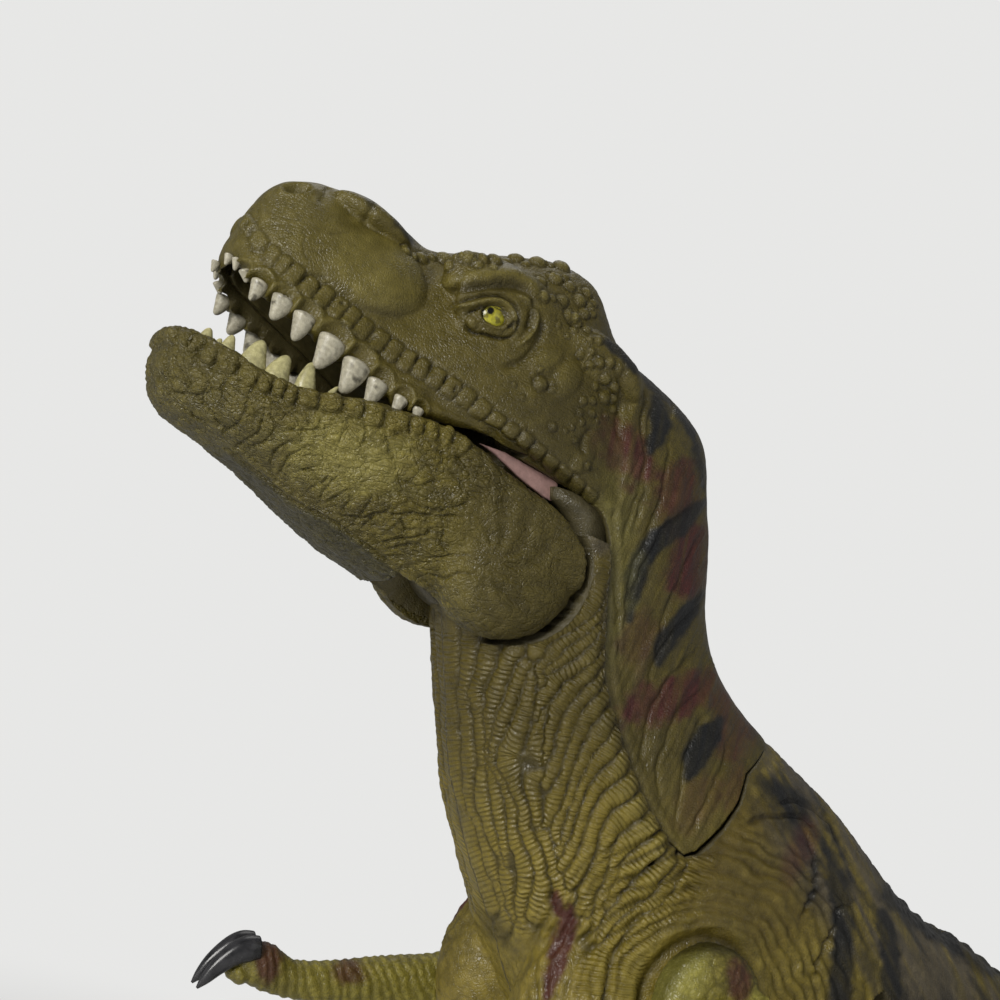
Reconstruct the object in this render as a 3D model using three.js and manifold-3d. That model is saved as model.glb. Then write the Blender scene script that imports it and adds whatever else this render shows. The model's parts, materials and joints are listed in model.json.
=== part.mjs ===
// Toy dinosaur figure: a two-legged meat eater moulded in pieces that turn on pins and pegs.
// The head and the nape shell are one rocker on the jaw axle. Pressing the nape shell in tips the
// snout up and opens the bite, and a spring in the back of the neck pushes it home again.
// Millimetres, +Z up, the nose toward -X and the animal's left side toward -Y.
// The origin is on the ground under the middle of the figure.

import * as THREE from 'three';
import { mergeVertices } from 'three/addons/utils/BufferGeometryUtils.js';
import Module from 'manifold-3d';

const wasm = await Module();
wasm.setup();

// Driving dimensions.

// clearances
const seatGap = 0.3;
const turnGap = 0.4;
const seamGap = 0.55;
const cutOver = 2;

// place of the jaw axle ahead of the middle; every other place is measured from the axle
const axleAhead = 129;

// head, measured along and square to the upper jaw
const headTilt = 10;
const headLength = 58;
const headHeight = 47;
const headHalfWidth = 18;
const headWall = 2.8;
const palateRise = 6;
const palateThickness = 1.8;
const skirtThickness = 1.4;

// lower jaw
const jawLength = 56;
const jawDepth = 13;
const jawHalfWidth = 18;
const jawWall = 2.6;
const jawFloor = 2.4;
const tongueHeight = 4.5;
const cheekRadius = 11.2;
const cheekInnerFace = 9.5;

// jaw axle, neck core and the ears of the head that hang on the axle
const axleRadius = 1.6;
const axleHalfLength = 13;
const coreRadius = 8;
const coreHalfWidth = 6;
const earRadius = 6;
const earThickness = 2.5;
const earInnerFace = coreHalfWidth + turnGap;
const earOuterFace = earInnerFace + earThickness;

// neck and torso
const trunkLength = 152;
const trunkDrop = 96;
const trunkHalfWidth = 28;

// nape shell and the seam round it
const shellReach = 60;
const shellDrop = 31;
const shellWall = 1.8;
const shellInset = 1.5;
const shellLip = 1.1;
const coreSideGap = 1.9;
const coreBackGapTop = 1.2;
const coreBackGapLow = 9;
const headTravel = 6;

// return spring under the nape shell
const springRadius = 3.2;
const springWire = 0.9;
const springLength = 13;
const springTurns = 6;
const springBack = 48.5;
const springFoot = -30;
const springWellGap = 0.8;

// teeth
const upperToothLength = 4.8;
const lowerToothLength = 4.4;
const toothRadius = 1.75;
const toothRoot = 2.2;
const toothSides = 6;

// shoulders and arms
const shoulderBack = 49.5;
const shoulderDrop = 50;
const shoulderRadius = 8.8;
const shoulderFace = 22;
const shoulderThickness = 5.2;
const armPegRadius = 3.6;
const armPegLength = 9;
const armPegHead = 1;
const armPegHeadLength = 2.4;
const armReach = 58;
const armFall = 25;
const armThickness = 7;
const armLean = 1.5;
const handClawRadius = 1.7;
const leftArmTurn = 62;

// hips and legs
const hipBack = 104;
const hipDrop = 66;
const hipFace = 18.5;
const hipPegRadius = 5;
const hipPocketRadius = 8.6;
const hipFlatRadius = 30;
const hipSwingRadius = 38;
const hipSwingDrop = 14;
const hipWallFace = 10.5;
const hipScrewHole = 1.5;
const washerRadius = 7.6;
const washerThickness = 1.4;
const legHeight = 94;
const legLength = 50;
const thighHalfWidth = 10.5;
const legMiddle = 27;
const footHeight = 9;
const footLength = 60;
const footHalfWidth = 10;
const toeRadius = 4.2;

// the axle stands on the legs: the hips hang below it and the soles are a leg's height lower
const axleHeight = hipDrop + legHeight;

// tail
const tailLength = 158;
const tailRootHeight = 20;
const tailRootHalfWidth = 16.5;
const tailDrop = 20;
const tailPegRadius = 5.5;
const tailPegLength = 13;
const tailFlange = 2.4;
const tailFlangeLength = 3;

// screws
const screwRadius = 1.35;
const screwHeadRadius = 2.7;
const screwHeadHeight = 1.9;
const screwLength = 14;
const screwDepth = 5.5;
const hipScrewLength = 12;

// Colours.

const paint = (colour, roughness = 0.5, metalness = 0) =>
  new THREE.MeshStandardMaterial({ color: colour, roughness, metalness });
const olive = 0x6b6334;
const throatOlive = 0x726f33;
const pink = 0x9a7a72;
const steel = 0x9a9a98;

// Tools for solids.

// A closed geometry becomes a solid, with its shared corners merged.
function solidOf(geometry) {
  const plain = geometry.clone();
  plain.deleteAttribute('normal');
  plain.deleteAttribute('uv');
  const merged = mergeVertices(plain, weldShare * headLength);
  const corners = [];
  for (let i = 0; i < merged.index.count; i += 3) {
    const [a, b, c] = [0, 1, 2].map((k) => merged.index.getX(i + k));
    if (a !== b && b !== c && a !== c) corners.push(a, b, c);
  }
  const vertProperties = new Float32Array(merged.attributes.position.array);
  if (signedVolume(vertProperties, corners) < 0) {
    for (let i = 0; i < corners.length; i += 3) {
      [corners[i + 1], corners[i + 2]] = [corners[i + 2], corners[i + 1]];
    }
  }
  const triVerts = new Uint32Array(corners);
  return new wasm.Manifold(new wasm.Mesh({ numProp: 3, vertProperties, triVerts }));
}
const weldShare = 1e-6;

function signedVolume(points, corners) {
  let total = 0;
  const at = (i) => new THREE.Vector3().fromArray(points, 3 * i);
  for (let i = 0; i < corners.length; i += 3) {
    total += at(corners[i]).dot(at(corners[i + 1]).cross(at(corners[i + 2])));
  }
  return total;
}

function meshOf(name, solid, material) {
  const { vertProperties, triVerts, numProp } = solid.getMesh();
  const geometry = new THREE.BufferGeometry();
  const points = [];
  for (let i = 0; i < vertProperties.length; i += numProp) {
    points.push(vertProperties[i], vertProperties[i + 1], vertProperties[i + 2]);
  }
  geometry.setAttribute('position', new THREE.Float32BufferAttribute(points, 3));
  geometry.setIndex(Array.from(triVerts));
  geometry.computeVertexNormals();
  const mesh = new THREE.Mesh(geometry, material);
  mesh.name = name;
  return mesh;
}

const joined = (solids) => solids.reduce((a, b) => a.add(b));
const rad = THREE.MathUtils.degToRad;

// A skin over a row of closed rings, with a flat end at each side.
function skin(rings) {
  const around = rings[0].length;
  const points = rings.flat();
  const index = [];
  for (let r = 0; r + 1 < rings.length; r++) {
    for (let k = 0; k < around; k++) {
      const next = (k + 1) % around;
      const [a, b] = [r * around + k, r * around + next];
      index.push(a, b, b + around, a, b + around, a + around);
    }
  }
  for (const [first, turn] of [[0, 1], [(rings.length - 1) * around, -1]]) {
    const ring = points.slice(first, first + around);
    const middle = ring.reduce((sum, p) => sum.add(p), new THREE.Vector3()).divideScalar(around);
    points.push(middle);
    for (let k = 0; k < around; k++) {
      const [a, b] = [first + k, first + (k + 1) % around];
      index.push(...(turn > 0 ? [points.length - 1, b, a] : [points.length - 1, a, b]));
    }
  }
  const geometry = new THREE.BufferGeometry();
  const flat = points.flatMap((p) => [p.x, p.y, p.z]);
  geometry.setAttribute('position', new THREE.Float32BufferAttribute(flat, 3));
  geometry.setIndex(index);
  return solidOf(geometry);
}

// One ring across from a low point to a high point, widest at the waist between them.
function ring(low, high, half, taper, fullness, count, waist = 1 / 2, lowFullness = fullness) {
  const points = [];
  for (let k = 0; k < count; k++) {
    const angle = 2 * Math.PI * k / count;
    const power = Math.cos(angle) < 0 ? lowFullness : fullness;
    const bulge = (v) => Math.sign(v) * Math.abs(v) ** (2 / power);
    const up = bulge(Math.cos(angle));
    const rise = waist + up * (up < 0 ? waist : 1 - waist);
    const side = bulge(Math.sin(angle)) * half * (1 - taper * rise);
    points.push(low.clone().lerp(high, rise).add(new THREE.Vector3(0, side, 0)));
  }
  return points;
}

// Rows of numbers, with smooth rows put between them.
function between(rows, steps) {
  const out = [];
  for (let i = 0; i + 1 < rows.length; i++) {
    const rowAt = (j) => rows[Math.min(Math.max(j, 0), rows.length - 1)];
    const [p, a, b, n] = [i - 1, i, i + 1, i + 2].map(rowAt);
    for (let s = 0; s < steps; s++) {
      const t = s / steps;
      out.push(a.map((v, c) => v + (b[c] - p[c]) / 2 * t
        + (p[c] - 5 / 2 * v + 2 * b[c] - n[c] / 2) * t * t
        + (-p[c] / 2 + 3 / 2 * v - 3 / 2 * b[c] + n[c] / 2) * t * t * t));
    }
  }
  out.push(rows[rows.length - 1]);
  return out;
}

// An outline in X and Z, drawn out along Y from one face to the other.
function slab(points, fromY, toY) {
  const shape = new THREE.Shape(points.map(([x, z]) => new THREE.Vector2(x, z)));
  const geometry = new THREE.ExtrudeGeometry(shape, { depth: toY - fromY, bevelEnabled: false });
  geometry.rotateX(Math.PI / 2);
  geometry.translate(0, toY, 0);
  return solidOf(geometry);
}

// A round bar along Y.
function bar(radius, x, z, fromY, toY, sides = 20) {
  const geometry = new THREE.CylinderGeometry(radius, radius, toY - fromY, sides);
  geometry.translate(x, (fromY + toY) / 2, z);
  return solidOf(geometry);
}

function block(x0, x1, y0, y1, z0, z1) {
  const geometry = new THREE.BoxGeometry(x1 - x0, y1 - y0, z1 - z0);
  geometry.translate((x0 + x1) / 2, (y0 + y1) / 2, (z0 + z1) / 2);
  return solidOf(geometry);
}

// A turned piece along +Y from a profile of [radius, place along Y].
function turned(profile, sides = 16) {
  return solidOf(new THREE.LatheGeometry(profile.map(([r, y]) => new THREE.Vector2(r, y)), sides));
}

// An outline grown outward by a distance.
function grown(points, distance) {
  const count = points.length;
  const area = points.reduce((sum, [x, z], i) => {
    const [nx, nz] = points[(i + 1) % count];
    return sum + x * nz - nx * z;
  }, 0);
  return points.map(([x, z], i) => {
    const [px, pz] = points[(i + count - 1) % count];
    const [nx, nz] = points[(i + 1) % count];
    const along = new THREE.Vector2(x - px, z - pz).normalize();
    const ahead = new THREE.Vector2(nx - x, nz - z).normalize();
    const out = new THREE.Vector2(along.y + ahead.y, -along.x - ahead.x).normalize();
    const reach = distance / Math.max(Math.sqrt((1 + along.dot(ahead)) / 2), 1 / 2);
    const sign = area > 0 ? 1 : -1;
    return [x + sign * reach * out.x, z + sign * reach * out.y];
  });
}

const mirrored = (solid) => solid.mirror([0, 1, 0]);
const turnedAboutAxle = (solid, degrees) => solid.rotate([0, degrees, 0]);

// Head.

// From a place on the upper jaw line, ahead of the axle and above it, to X and Z.
function onHead(ahead, up) {
  const [c, s] = [Math.cos(rad(headTilt)), Math.sin(rad(headTilt))];
  return new THREE.Vector3(-ahead * c + up * s, 0, ahead * s + up * c);
}

// Shares: ahead of the head's length; crown and lip of its height; half width; taper; fullness.
const headShares = [
  [-0.25, 0.78, 0.235, 0.78, 0.42, 2.3],
  [-0.19, 0.845, 0.275, 0.88, 0.44, 2.4],
  [-0.11, 0.895, 0.297, 0.955, 0.44, 2.5],
  [0.00, 0.965, 0.307, 1.0, 0.40, 2.6],
  [0.11, 1.0, 0.304, 0.99, 0.34, 2.8],
  [0.22, 0.97, 0.287, 0.955, 0.3, 2.8],
  [0.32, 0.905, 0.27, 0.91, 0.3, 2.7],
  [0.40, 0.85, 0.262, 0.865, 0.34, 2.5],
  [0.47, 0.79, 0.264, 0.81, 0.40, 2.4],
  [0.54, 0.76, 0.276, 0.76, 0.44, 2.4],
  [0.63, 0.775, 0.294, 0.71, 0.44, 2.5],
  [0.72, 0.785, 0.306, 0.67, 0.42, 2.6],
  [0.80, 0.765, 0.316, 0.62, 0.36, 2.6],
  [0.865, 0.74, 0.324, 0.555, 0.33, 2.5],
  [0.912, 0.705, 0.333, 0.43, 0.32, 2.4],
  [0.942, 0.665, 0.347, 0.33, 0.3, 2.4],
  [0.962, 0.61, 0.375, 0.22, 0.3, 2.3],
  [0.971, 0.55, 0.405, 0.13, 0.3, 2.2],
];

function headRings(shares, count) {
  return shares.map(([ahead, crown, lip, half, taper, fullness]) => {
    const low = onHead(ahead * headLength, lip * headHeight);
    const high = onHead(ahead * headLength, crown * headHeight);
    return ring(low, high, half * headHalfWidth, taper, fullness, count, lipWaistShare, squareFullness);
  });
}

// Square rings inside the head, from one height above the lip to another.
function troughRings(shares, inset, from, to, count) {
  return shares.map(([ahead, , lip, half]) => {
    const low = onHead(ahead * headLength, lip * headHeight + from);
    const high = onHead(ahead * headLength, lip * headHeight + to);
    return ring(low, high, half * headHalfWidth - inset, 0, squareFullness, count);
  });
}
const lipWaistShare = 0.16;
const squareFullness = 6;

// Lip height and half width at a place along the head, read off the table.
function headAt(ahead, column) {
  const rows = headShares;
  const i = Math.max(1, rows.findIndex((row) => row[0] * headLength >= ahead));
  const [a, b] = [rows[i - 1], rows[i]];
  return a[column] + (b[column] - a[column]) * (ahead / headLength - a[0]) / (b[0] - a[0]);
}

// Nasal hump, brow ridges and the swellings round the eyes, as shares of the head.
const headLumpShares = [
  [0.71, 0.705, 0.22, 0.12, 0.045, 0.22],
  [0.25, 0.81, 0.48, 0.21, 0.085, 0.26],
  [0.04, 0.72, 0.62, 0.15, 0.10, 0.20],
  [0.34, 0.64, 0.66, 0.13, 0.12, 0.14],
];

function lump([ahead, up, side, along, high, wide], hand) {
  const geometry = new THREE.SphereGeometry(1, 10, 6);
  geometry.scale(along * headLength, wide * headHalfWidth, high * headHeight);
  geometry.rotateY(rad(headTilt));
  const place = onHead(ahead * headLength, up * headHeight);
  geometry.translate(place.x, hand * side * headHalfWidth, place.z);
  return solidOf(geometry);
}

// Trunk.

// Shares of the trunk: back X and Z, front X and Z, half width, taper toward the back, fullness.
const trunkShares = [
  [0.197, 0.355, -0.030, -0.040, 0.665, 0.20, 2.2],
  [0.230, 0.262, -0.012, -0.085, 0.685, 0.22, 2.2],
  [0.257, 0.165, 0.004, -0.125, 0.69, 0.24, 2.2],
  [0.276, 0.075, 0.017, -0.175, 0.695, 0.26, 2.2],
  [0.306, 0.008, 0.034, -0.235, 0.71, 0.29, 2.2],
  [0.355, -0.050, 0.060, -0.315, 0.75, 0.32, 2.2],
  [0.433, -0.102, 0.092, -0.395, 0.82, 0.36, 2.2],
  [0.528, -0.160, 0.140, -0.485, 0.91, 0.40, 2.3],
  [0.620, -0.237, 0.200, -0.600, 0.98, 0.42, 2.3],
  [0.704, -0.288, 0.290, -0.745, 0.97, 0.42, 2.3],
  [0.775, -0.305, 0.420, -0.880, 0.88, 0.40, 2.4],
  [0.850, -0.335, 0.585, -0.985, 0.80, 0.36, 2.5],
  [0.920, -0.370, 0.770, -1.0, 0.74, 0.30, 2.4],
  [0.970, -0.398, 0.870, -0.900, 0.66, 0.24, 2.3],
  [1.000, -0.425, 0.915, -0.800, 0.59, 0.20, 2.2],
];

// The trunk's skin, moved inward at the sides, at the back and at the front.
function trunkSkin(rows, side, backTop, backLow, front, count, steps) {
  const last = rows.length - 1;
  const rings = between(rows, steps).map(([bx, bz, fx, fz, half, taper, fullness], i) => {
    const share = Math.min(i / (steps * Math.min(last, shellRows)), 1);
    const back = new THREE.Vector3(bx * trunkLength, 0, bz * trunkDrop);
    const chest = new THREE.Vector3(fx * trunkLength, 0, fz * trunkDrop);
    const inward = chest.clone().sub(back).normalize();
    back.addScaledVector(inward, backTop + (backLow - backTop) * share);
    chest.addScaledVector(inward, -front);
    return ring(chest, back, half * trunkHalfWidth - side, taper, fullness, count);
  });
  return skin(rings);
}
const shellRows = 6;

// Nape shell outline.

// Shares of the shell's reach and drop. The front edge runs down from the jaw corner to the V
// tip, and the rear edge runs back up to the spine.
const shellShares = [
  [0.20, 0.34], [0.238, 0.155], [0.276, -0.065], [0.322, -0.32], [0.362, -0.43], [0.425, -0.58],
  [0.535, -0.81], [0.632, -0.955], [0.682, -0.99], [0.718, -0.955], [0.785, -0.81],
  [0.838, -0.66], [0.868, -0.50], [0.985, -0.30], [0.99, 0.10], [0.9, 1.7], [0.2, 1.9],
];
const shellOutline = shellShares.map(([x, z]) => [x * shellReach, z * shellDrop]);

const wide = trunkHalfWidth + cutOver;
const acrossAll = (points) => slab(points, -wide, wide);

// The space that the shell passes through, from rest to the end of its travel.
const travelSteps = [0, headTravel / 2, headTravel];
const shellSweep = joined(travelSteps.map((degrees) =>
  turnedAboutAxle(acrossAll(grown(shellOutline, seamGap)), degrees)));

const around = 16;
const troughPoints = 12;
const trunkSteps = 2;
const neckShares = [
  [0.045, 0.440, -0.100, 0.140, 0.60, 0.30, 2.3],
  [0.116, 0.410, -0.065, 0.060, 0.65, 0.24, 2.2],
  ...trunkShares.slice(0, shellRows + 3),
];
const shellOuter = trunkSkin(neckShares, shellInset, 0, 0, -cutOver, around, 1);
const shellInner = trunkSkin(neckShares.slice(2), shellInset + shellWall, shellWall, shellWall,
  -2 * cutOver, around, 1);

// Room in the head over the top of the neck, for the head's travel.
const neckRoom = trunkSkin(
  [[0.163, 0.388, -0.062, 0.000, 0.64, 0.20, 2.2], ...trunkShares.slice(0, 2)],
  shellInset + shellWall, shellWall, shellWall, -cutOver, around, 1);

const shellBody = shellOuter.intersect(acrossAll(shellOutline)).subtract(shellInner).subtract(neckRoom);

// Ears of the head.

function ear(hand) {
  const top = earRadius * 7 / 2;
  const outline = [[earRadius * 5 / 4, top], [-earRadius * 7 / 6, top]];
  const steps = 10;
  for (let k = 0; k <= steps; k++) {
    const angle = Math.PI + Math.PI * k / steps;
    outline.push([earRadius * Math.cos(angle), earRadius * Math.sin(angle)]);
  }
  const plate = slab(outline, earInnerFace, earOuterFace)
    .subtract(bar(axleRadius + seatGap, 0, 0, earInnerFace - cutOver, earOuterFace + cutOver));
  return hand < 0 ? mirrored(plate) : plate;
}

// Teeth.

// A tooth: a long cone at a place, leaning by a turn about X and Y.
function tooth(x, y, z, length, radius, leanForward, leanOut, down) {
  const geometry = new THREE.ConeGeometry(radius, length + toothRoot, toothSides);
  geometry.translate(0, (length - toothRoot) / 2, 0);
  geometry.rotateX(down ? -Math.PI / 2 : Math.PI / 2);
  geometry.rotateX(rad(leanOut));
  geometry.rotateY(rad(leanForward));
  geometry.translate(x, y, z);
  return solidOf(geometry);
}

// Shares of the head's length, and of the longest upper tooth.
const upperToothShares = [
  [0.935, 0.5], [0.895, 0.62], [0.85, 0.74], [0.795, 0.82], [0.73, 0.9], [0.65, 1.0],
  [0.575, 0.95], [0.50, 0.76], [0.44, 0.5], [0.395, 0.42],
];
// Shares of the jaw's length, and of the longest lower tooth.
const lowerToothShares = [
  [0.985, 0.5], [0.94, 0.7], [0.885, 0.86], [0.825, 0.95], [0.76, 1.0], [0.695, 0.96],
  [0.63, 0.9], [0.57, 0.7], [0.51, 0.5],
];

function upperTeeth() {
  const teeth = [];
  for (const hand of [-1, 1]) {
    for (const [share, size] of upperToothShares) {
      const ahead = share * headLength;
      const place = onHead(ahead - toothRadius, headAt(ahead, 2) * headHeight);
      const side = headAt(ahead - toothRadius, 3) * headHalfWidth - headWall / 2;
      teeth.push(tooth(place.x, hand * side, place.z, size * upperToothLength,
        toothRadius * (1 + size) / 2, -headTilt, 0, true));
    }
  }
  return joined(teeth);
}

// Head solid.

const headSkin = skin(headRings(headShares, around));
const mouthShares = headShares.filter(([ahead]) => ahead > 0 && ahead < 0.95);
const mouthRoof = skin(troughRings(mouthShares, headWall, -palateRise, palateRise, troughPoints));
const lumps = joined(headLumpShares.flatMap((row) => [lump(row, -1), lump(row, 1)]));

const headFront = headSkin.add(lumps).subtract(neckRoom)
  .subtract(shellInner.intersect(acrossAll(shellOutline)));
const headSolid = headFront.add(shellBody).subtract(mouthRoof)
  .add(ear(-1)).add(ear(1)).add(upperTeeth());

// Insert in the roof of the mouth, with a soft skirt down each side behind the teeth.
function palate() {
  const shares = headShares.filter(([ahead]) => ahead > 0.2 && ahead < 0.92);
  const top = palateRise - seatGap;
  const plate = skin(troughRings(shares, headWall + seatGap, -palateRise, top, troughPoints));
  const below = skin(troughRings(mouthShares, headWall + seatGap + skirtThickness,
    -2 * palateRise, top - palateThickness, troughPoints));
  const under = skin(troughRings(headShares, -cutOver, -2 * palateRise, skirtRise, troughPoints));
  return plate.subtract(below).subtract(under);
}
const skirtRise = 0.5;

// Lower jaw.

// Shares: ahead of the jaw's length; rim and underside of its depth; half width; taper; fullness.
const jawShares = [
  [-0.195, 0.15, -0.15, 0.93, -0.02, 2.2],
  [-0.175, 0.42, -0.40, 0.975, -0.02, 2.2],
  [-0.12, 0.64, -0.64, 0.99, -0.02, 2.3],
  [-0.05, 0.81, -0.815, 1.0, -0.02, 2.4],
  [0.04, 0.88, -0.84, 1.0, -0.03, 2.5],
  [0.12, 0.95, -0.77, 0.985, -0.04, 2.5],
  [0.21, 1.02, -0.70, 0.955, -0.06, 2.6],
  [0.30, 1.055, -0.625, 0.905, -0.08, 2.6],
  [0.40, 1.035, -0.545, 0.85, -0.12, 2.6],
  [0.50, 0.98, -0.40, 0.795, -0.16, 2.6],
  [0.59, 0.88, -0.23, 0.75, -0.18, 2.6],
  [0.68, 0.80, -0.09, 0.71, -0.2, 2.6],
  [0.77, 0.80, 0.0, 0.665, -0.2, 2.6],
  [0.85, 0.87, 0.075, 0.60, -0.2, 2.5],
  [0.92, 0.94, 0.14, 0.51, -0.2, 2.4],
  [0.97, 0.975, 0.28, 0.38, -0.2, 2.3],
  [1.0, 0.96, 0.55, 0.2, -0.2, 2.2],
];

function jawRings(shares, inset, floor, rise, count) {
  return shares.map(([ahead, rim, under, half, taper, fullness]) => {
    const low = new THREE.Vector3(-ahead * jawLength, 0, under * jawDepth + floor);
    const high = new THREE.Vector3(-ahead * jawLength, 0, rim * jawDepth + rise);
    const width = half * jawHalfWidth - inset;
    return rise > 0 ? ring(low, high, width, 0, squareFullness, count)
      : ring(low, high, width, taper, squareFullness, count, rimWaistShare, fullness);
  });
}
const rimWaistShare = 0.8;

function jawAt(ahead, column) {
  const rows = jawShares;
  const i = Math.max(1, rows.findIndex((row) => row[0] * jawLength >= ahead));
  const [a, b] = [rows[i - 1], rows[i]];
  return a[column] + (b[column] - a[column]) * (ahead / jawLength - a[0]) / (b[0] - a[0]);
}

function lowerTeeth() {
  const teeth = [];
  for (const hand of [-1, 1]) {
    for (const [share, size] of lowerToothShares) {
      const ahead = share * jawLength;
      const side = Math.max(jawAt(ahead - toothRadius, 3) * jawHalfWidth - jawWall / 2, toothRadius);
      teeth.push(tooth(-ahead + toothRadius, hand * side, jawAt(ahead, 1) * jawDepth - toothRoot / 2,
        size * lowerToothLength, toothRadius * (1 + size) / 2, -headTilt / 2, 0, false));
    }
  }
  return joined(teeth);
}

// The cheeks: domed discs on the axle, at both sides of the neck core.
const cheekShares = [[1.0, 0], [1.0, 0.78], [0.86, 0.93], [0.6, 1.0], [0, 1.02]];
function cheek(hand) {
  const width = jawHalfWidth - cheekInnerFace;
  const profile = [[0, 0], ...cheekShares.map(([r, y]) => [r * cheekRadius, y * width])];
  const disc = turned(profile, 22).translate([0, cheekInnerFace, 0]);
  return hand < 0 ? mirrored(disc) : disc;
}

const jawSkin = skin(jawRings(jawShares, 0, 0, 0, around));
const bowlRear = coreRadius + earRadius;
const bowlShares = jawShares.filter(([ahead]) => ahead * jawLength > bowlRear / 2 && ahead < 0.96);
const jawBowl = skin(jawRings(bowlShares, jawWall, jawFloor, jawDepth, troughPoints));
const betweenCheeks = block(-bowlRear, 2 * bowlRear, -cheekInnerFace, cheekInnerFace,
  -jawDepth * 2, jawDepth * 2);
const axleHole = bar(axleRadius + turnGap, 0, 0, -axleHalfLength - seatGap, axleHalfLength + seatGap);
const jawSolid = jawSkin.add(cheek(-1)).add(cheek(1)).subtract(jawBowl).subtract(betweenCheeks)
  .subtract(axleHole).add(lowerTeeth());

// Tongue: a soft pad in the bowl of the jaw.
function tongue() {
  const shares = jawShares.filter(([ahead]) => ahead > 0.3 && ahead < 0.84);
  const rings = shares.map(([ahead, rim, under, half], i) => {
    const floor = under * jawDepth + jawFloor + seatGap;
    const end = i === 0 || i === shares.length - 1 ? 2 / 3 : 1;
    const low = new THREE.Vector3(-ahead * jawLength, 0, floor);
    const high = low.clone().setZ(floor + tongueHeight * end);
    return ring(low, high, (half * jawHalfWidth - 2 * jawWall) * end * 4 / 5, 0, 2.4, 12);
  });
  return skin(rings);
}

// Trunk solids.

const lipSkin = trunkSkin(neckShares.slice(1), shellLip, -cutOver, -cutOver, -cutOver, around, 1);
const coreSkin = trunkSkin(trunkShares, shellInset + shellWall + coreSideGap,
  shellInset + shellWall + coreBackGapTop, shellWall + coreBackGapLow, 0, around, 1);

// Chest muscles: place behind the axle, beside the middle and below it, and the half sizes, as
// shares of the trunk's length, half width and drop.
const chestShares = [0.248, 0.44, -0.60, 0.08, 0.33, 0.165];
function chest(hand) {
  const [x, y, z, along, across, high] = chestShares;
  const geometry = new THREE.SphereGeometry(1, 12, 8);
  geometry.scale(along * trunkLength, across * trunkHalfWidth, high * trunkDrop);
  geometry.translate(x * trunkLength, hand * y * trunkHalfWidth, z * trunkDrop);
  return solidOf(geometry);
}

const trunkBody = trunkSkin(trunkShares, 0, 0, 0, 0, around, trunkSteps)
  .add(chest(-1)).add(chest(1))
  .subtract(acrossAll(grown(shellOutline, seamGap)))
  .subtract(shellSweep.intersect(lipSkin))
  .add(coreSkin);

// Room over the top of the neck's flanks for the rear of the head, as shares of the core's radius.
const neckTopShares = [[-4, 1.02], [1.95, 1.02], [1.95, 4], [-4, 4]];
const neckTop = neckTopShares.map(([x, z]) => [x * coreRadius, z * coreRadius]);

const neckCore = bar(coreRadius, 0, 0, -coreHalfWidth, coreHalfWidth, 28);

function besideCore(hand) {
  const clear = cheekRadius + turnGap + seatGap;
  const cheekRoom = bar(clear, 0, 0, earOuterFace - seatGap, wide, 28);
  const earSlot = bar(earRadius + seamGap, 0, 0, coreHalfWidth, earOuterFace + seatGap, 28)
    .add(slab([[-2 * earRadius, 0], [earRadius + seamGap, 0], [2 * earRadius, earRadius],
      [2 * earRadius, 5 * earRadius], [-2 * earRadius, 5 * earRadius]],
    coreHalfWidth, earOuterFace + seatGap));
  const room = cheekRoom.add(earSlot).add(slab(neckTop, coreHalfWidth, wide));
  return hand < 0 ? mirrored(room) : room;
}

// Socket for a swivel peg along Y: a bore with a wider chamber for the peg's head.
function armSocket(hand) {
  const bore = bar(armPegRadius + turnGap, shoulderBack, -shoulderDrop, shoulderFace - armPegLength, wide)
    .add(bar(armPegRadius + armPegHead + turnGap, shoulderBack, -shoulderDrop,
      shoulderFace - armPegLength - seatGap, shoulderFace - armPegLength + armPegHeadLength + turnGap))
    .add(bar(shoulderRadius + seamGap, shoulderBack, -shoulderDrop, shoulderFace, wide, 24));
  return hand < 0 ? mirrored(bore) : bore;
}

function hipSocket(hand) {
  const room = bar(hipPegRadius + turnGap, hipBack, -hipDrop, 0, wide)
    .add(bar(hipPocketRadius, hipBack, -hipDrop, -cutOver, hipWallFace, 24))
    .add(bar(hipFlatRadius, hipBack, -hipDrop, hipFace - turnGap, wide, 28))
    .add(bar(hipSwingRadius, hipBack, -hipDrop - hipSwingDrop, hipFace - turnGap, wide, 28));
  return hand < 0 ? mirrored(room) : room;
}

// Tail.

const [backX, backZ, frontX, frontZ] = trunkShares[trunkShares.length - 1];
const tailRoot = new THREE.Vector3(
  (backX + frontX) / 2 * trunkLength, 0, (backZ + frontZ) / 2 * trunkDrop);
const tailAcross = new THREE.Vector3(
  (backX - frontX) * trunkLength, 0, (backZ - frontZ) * trunkDrop).normalize();
const tailLean = THREE.MathUtils.radToDeg(Math.atan2(tailAcross.x, tailAcross.z));

// Shares in the tail's own frame: along the length, rise, half height, half width.
const tailShares = [
  [0.0, 0.0, 0.99, 0.99], [0.06, 0.0, 0.93, 0.93], [0.14, 0.02, 0.82, 0.82], [0.24, 0.10, 0.68, 0.68],
  [0.36, 0.27, 0.55, 0.54], [0.49, 0.60, 0.44, 0.42], [0.62, 1.05, 0.34, 0.32], [0.75, 1.60, 0.25, 0.23],
  [0.87, 2.2, 0.17, 0.155], [0.95, 2.62, 0.11, 0.1], [1.0, 2.88, 0.045, 0.045],
];

const tailPegProfile = (gap) => [
  [0, -tailPegLength - gap], [tailPegRadius + tailFlange + gap, -tailPegLength - gap],
  [tailPegRadius + tailFlange + gap, -tailPegLength + tailFlangeLength + 2 * gap],
  [tailPegRadius + gap, -tailPegLength + tailFlangeLength + 2 * gap],
  [tailPegRadius + gap, tailPegLength / 2], [0, tailPegLength / 2],
];

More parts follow.
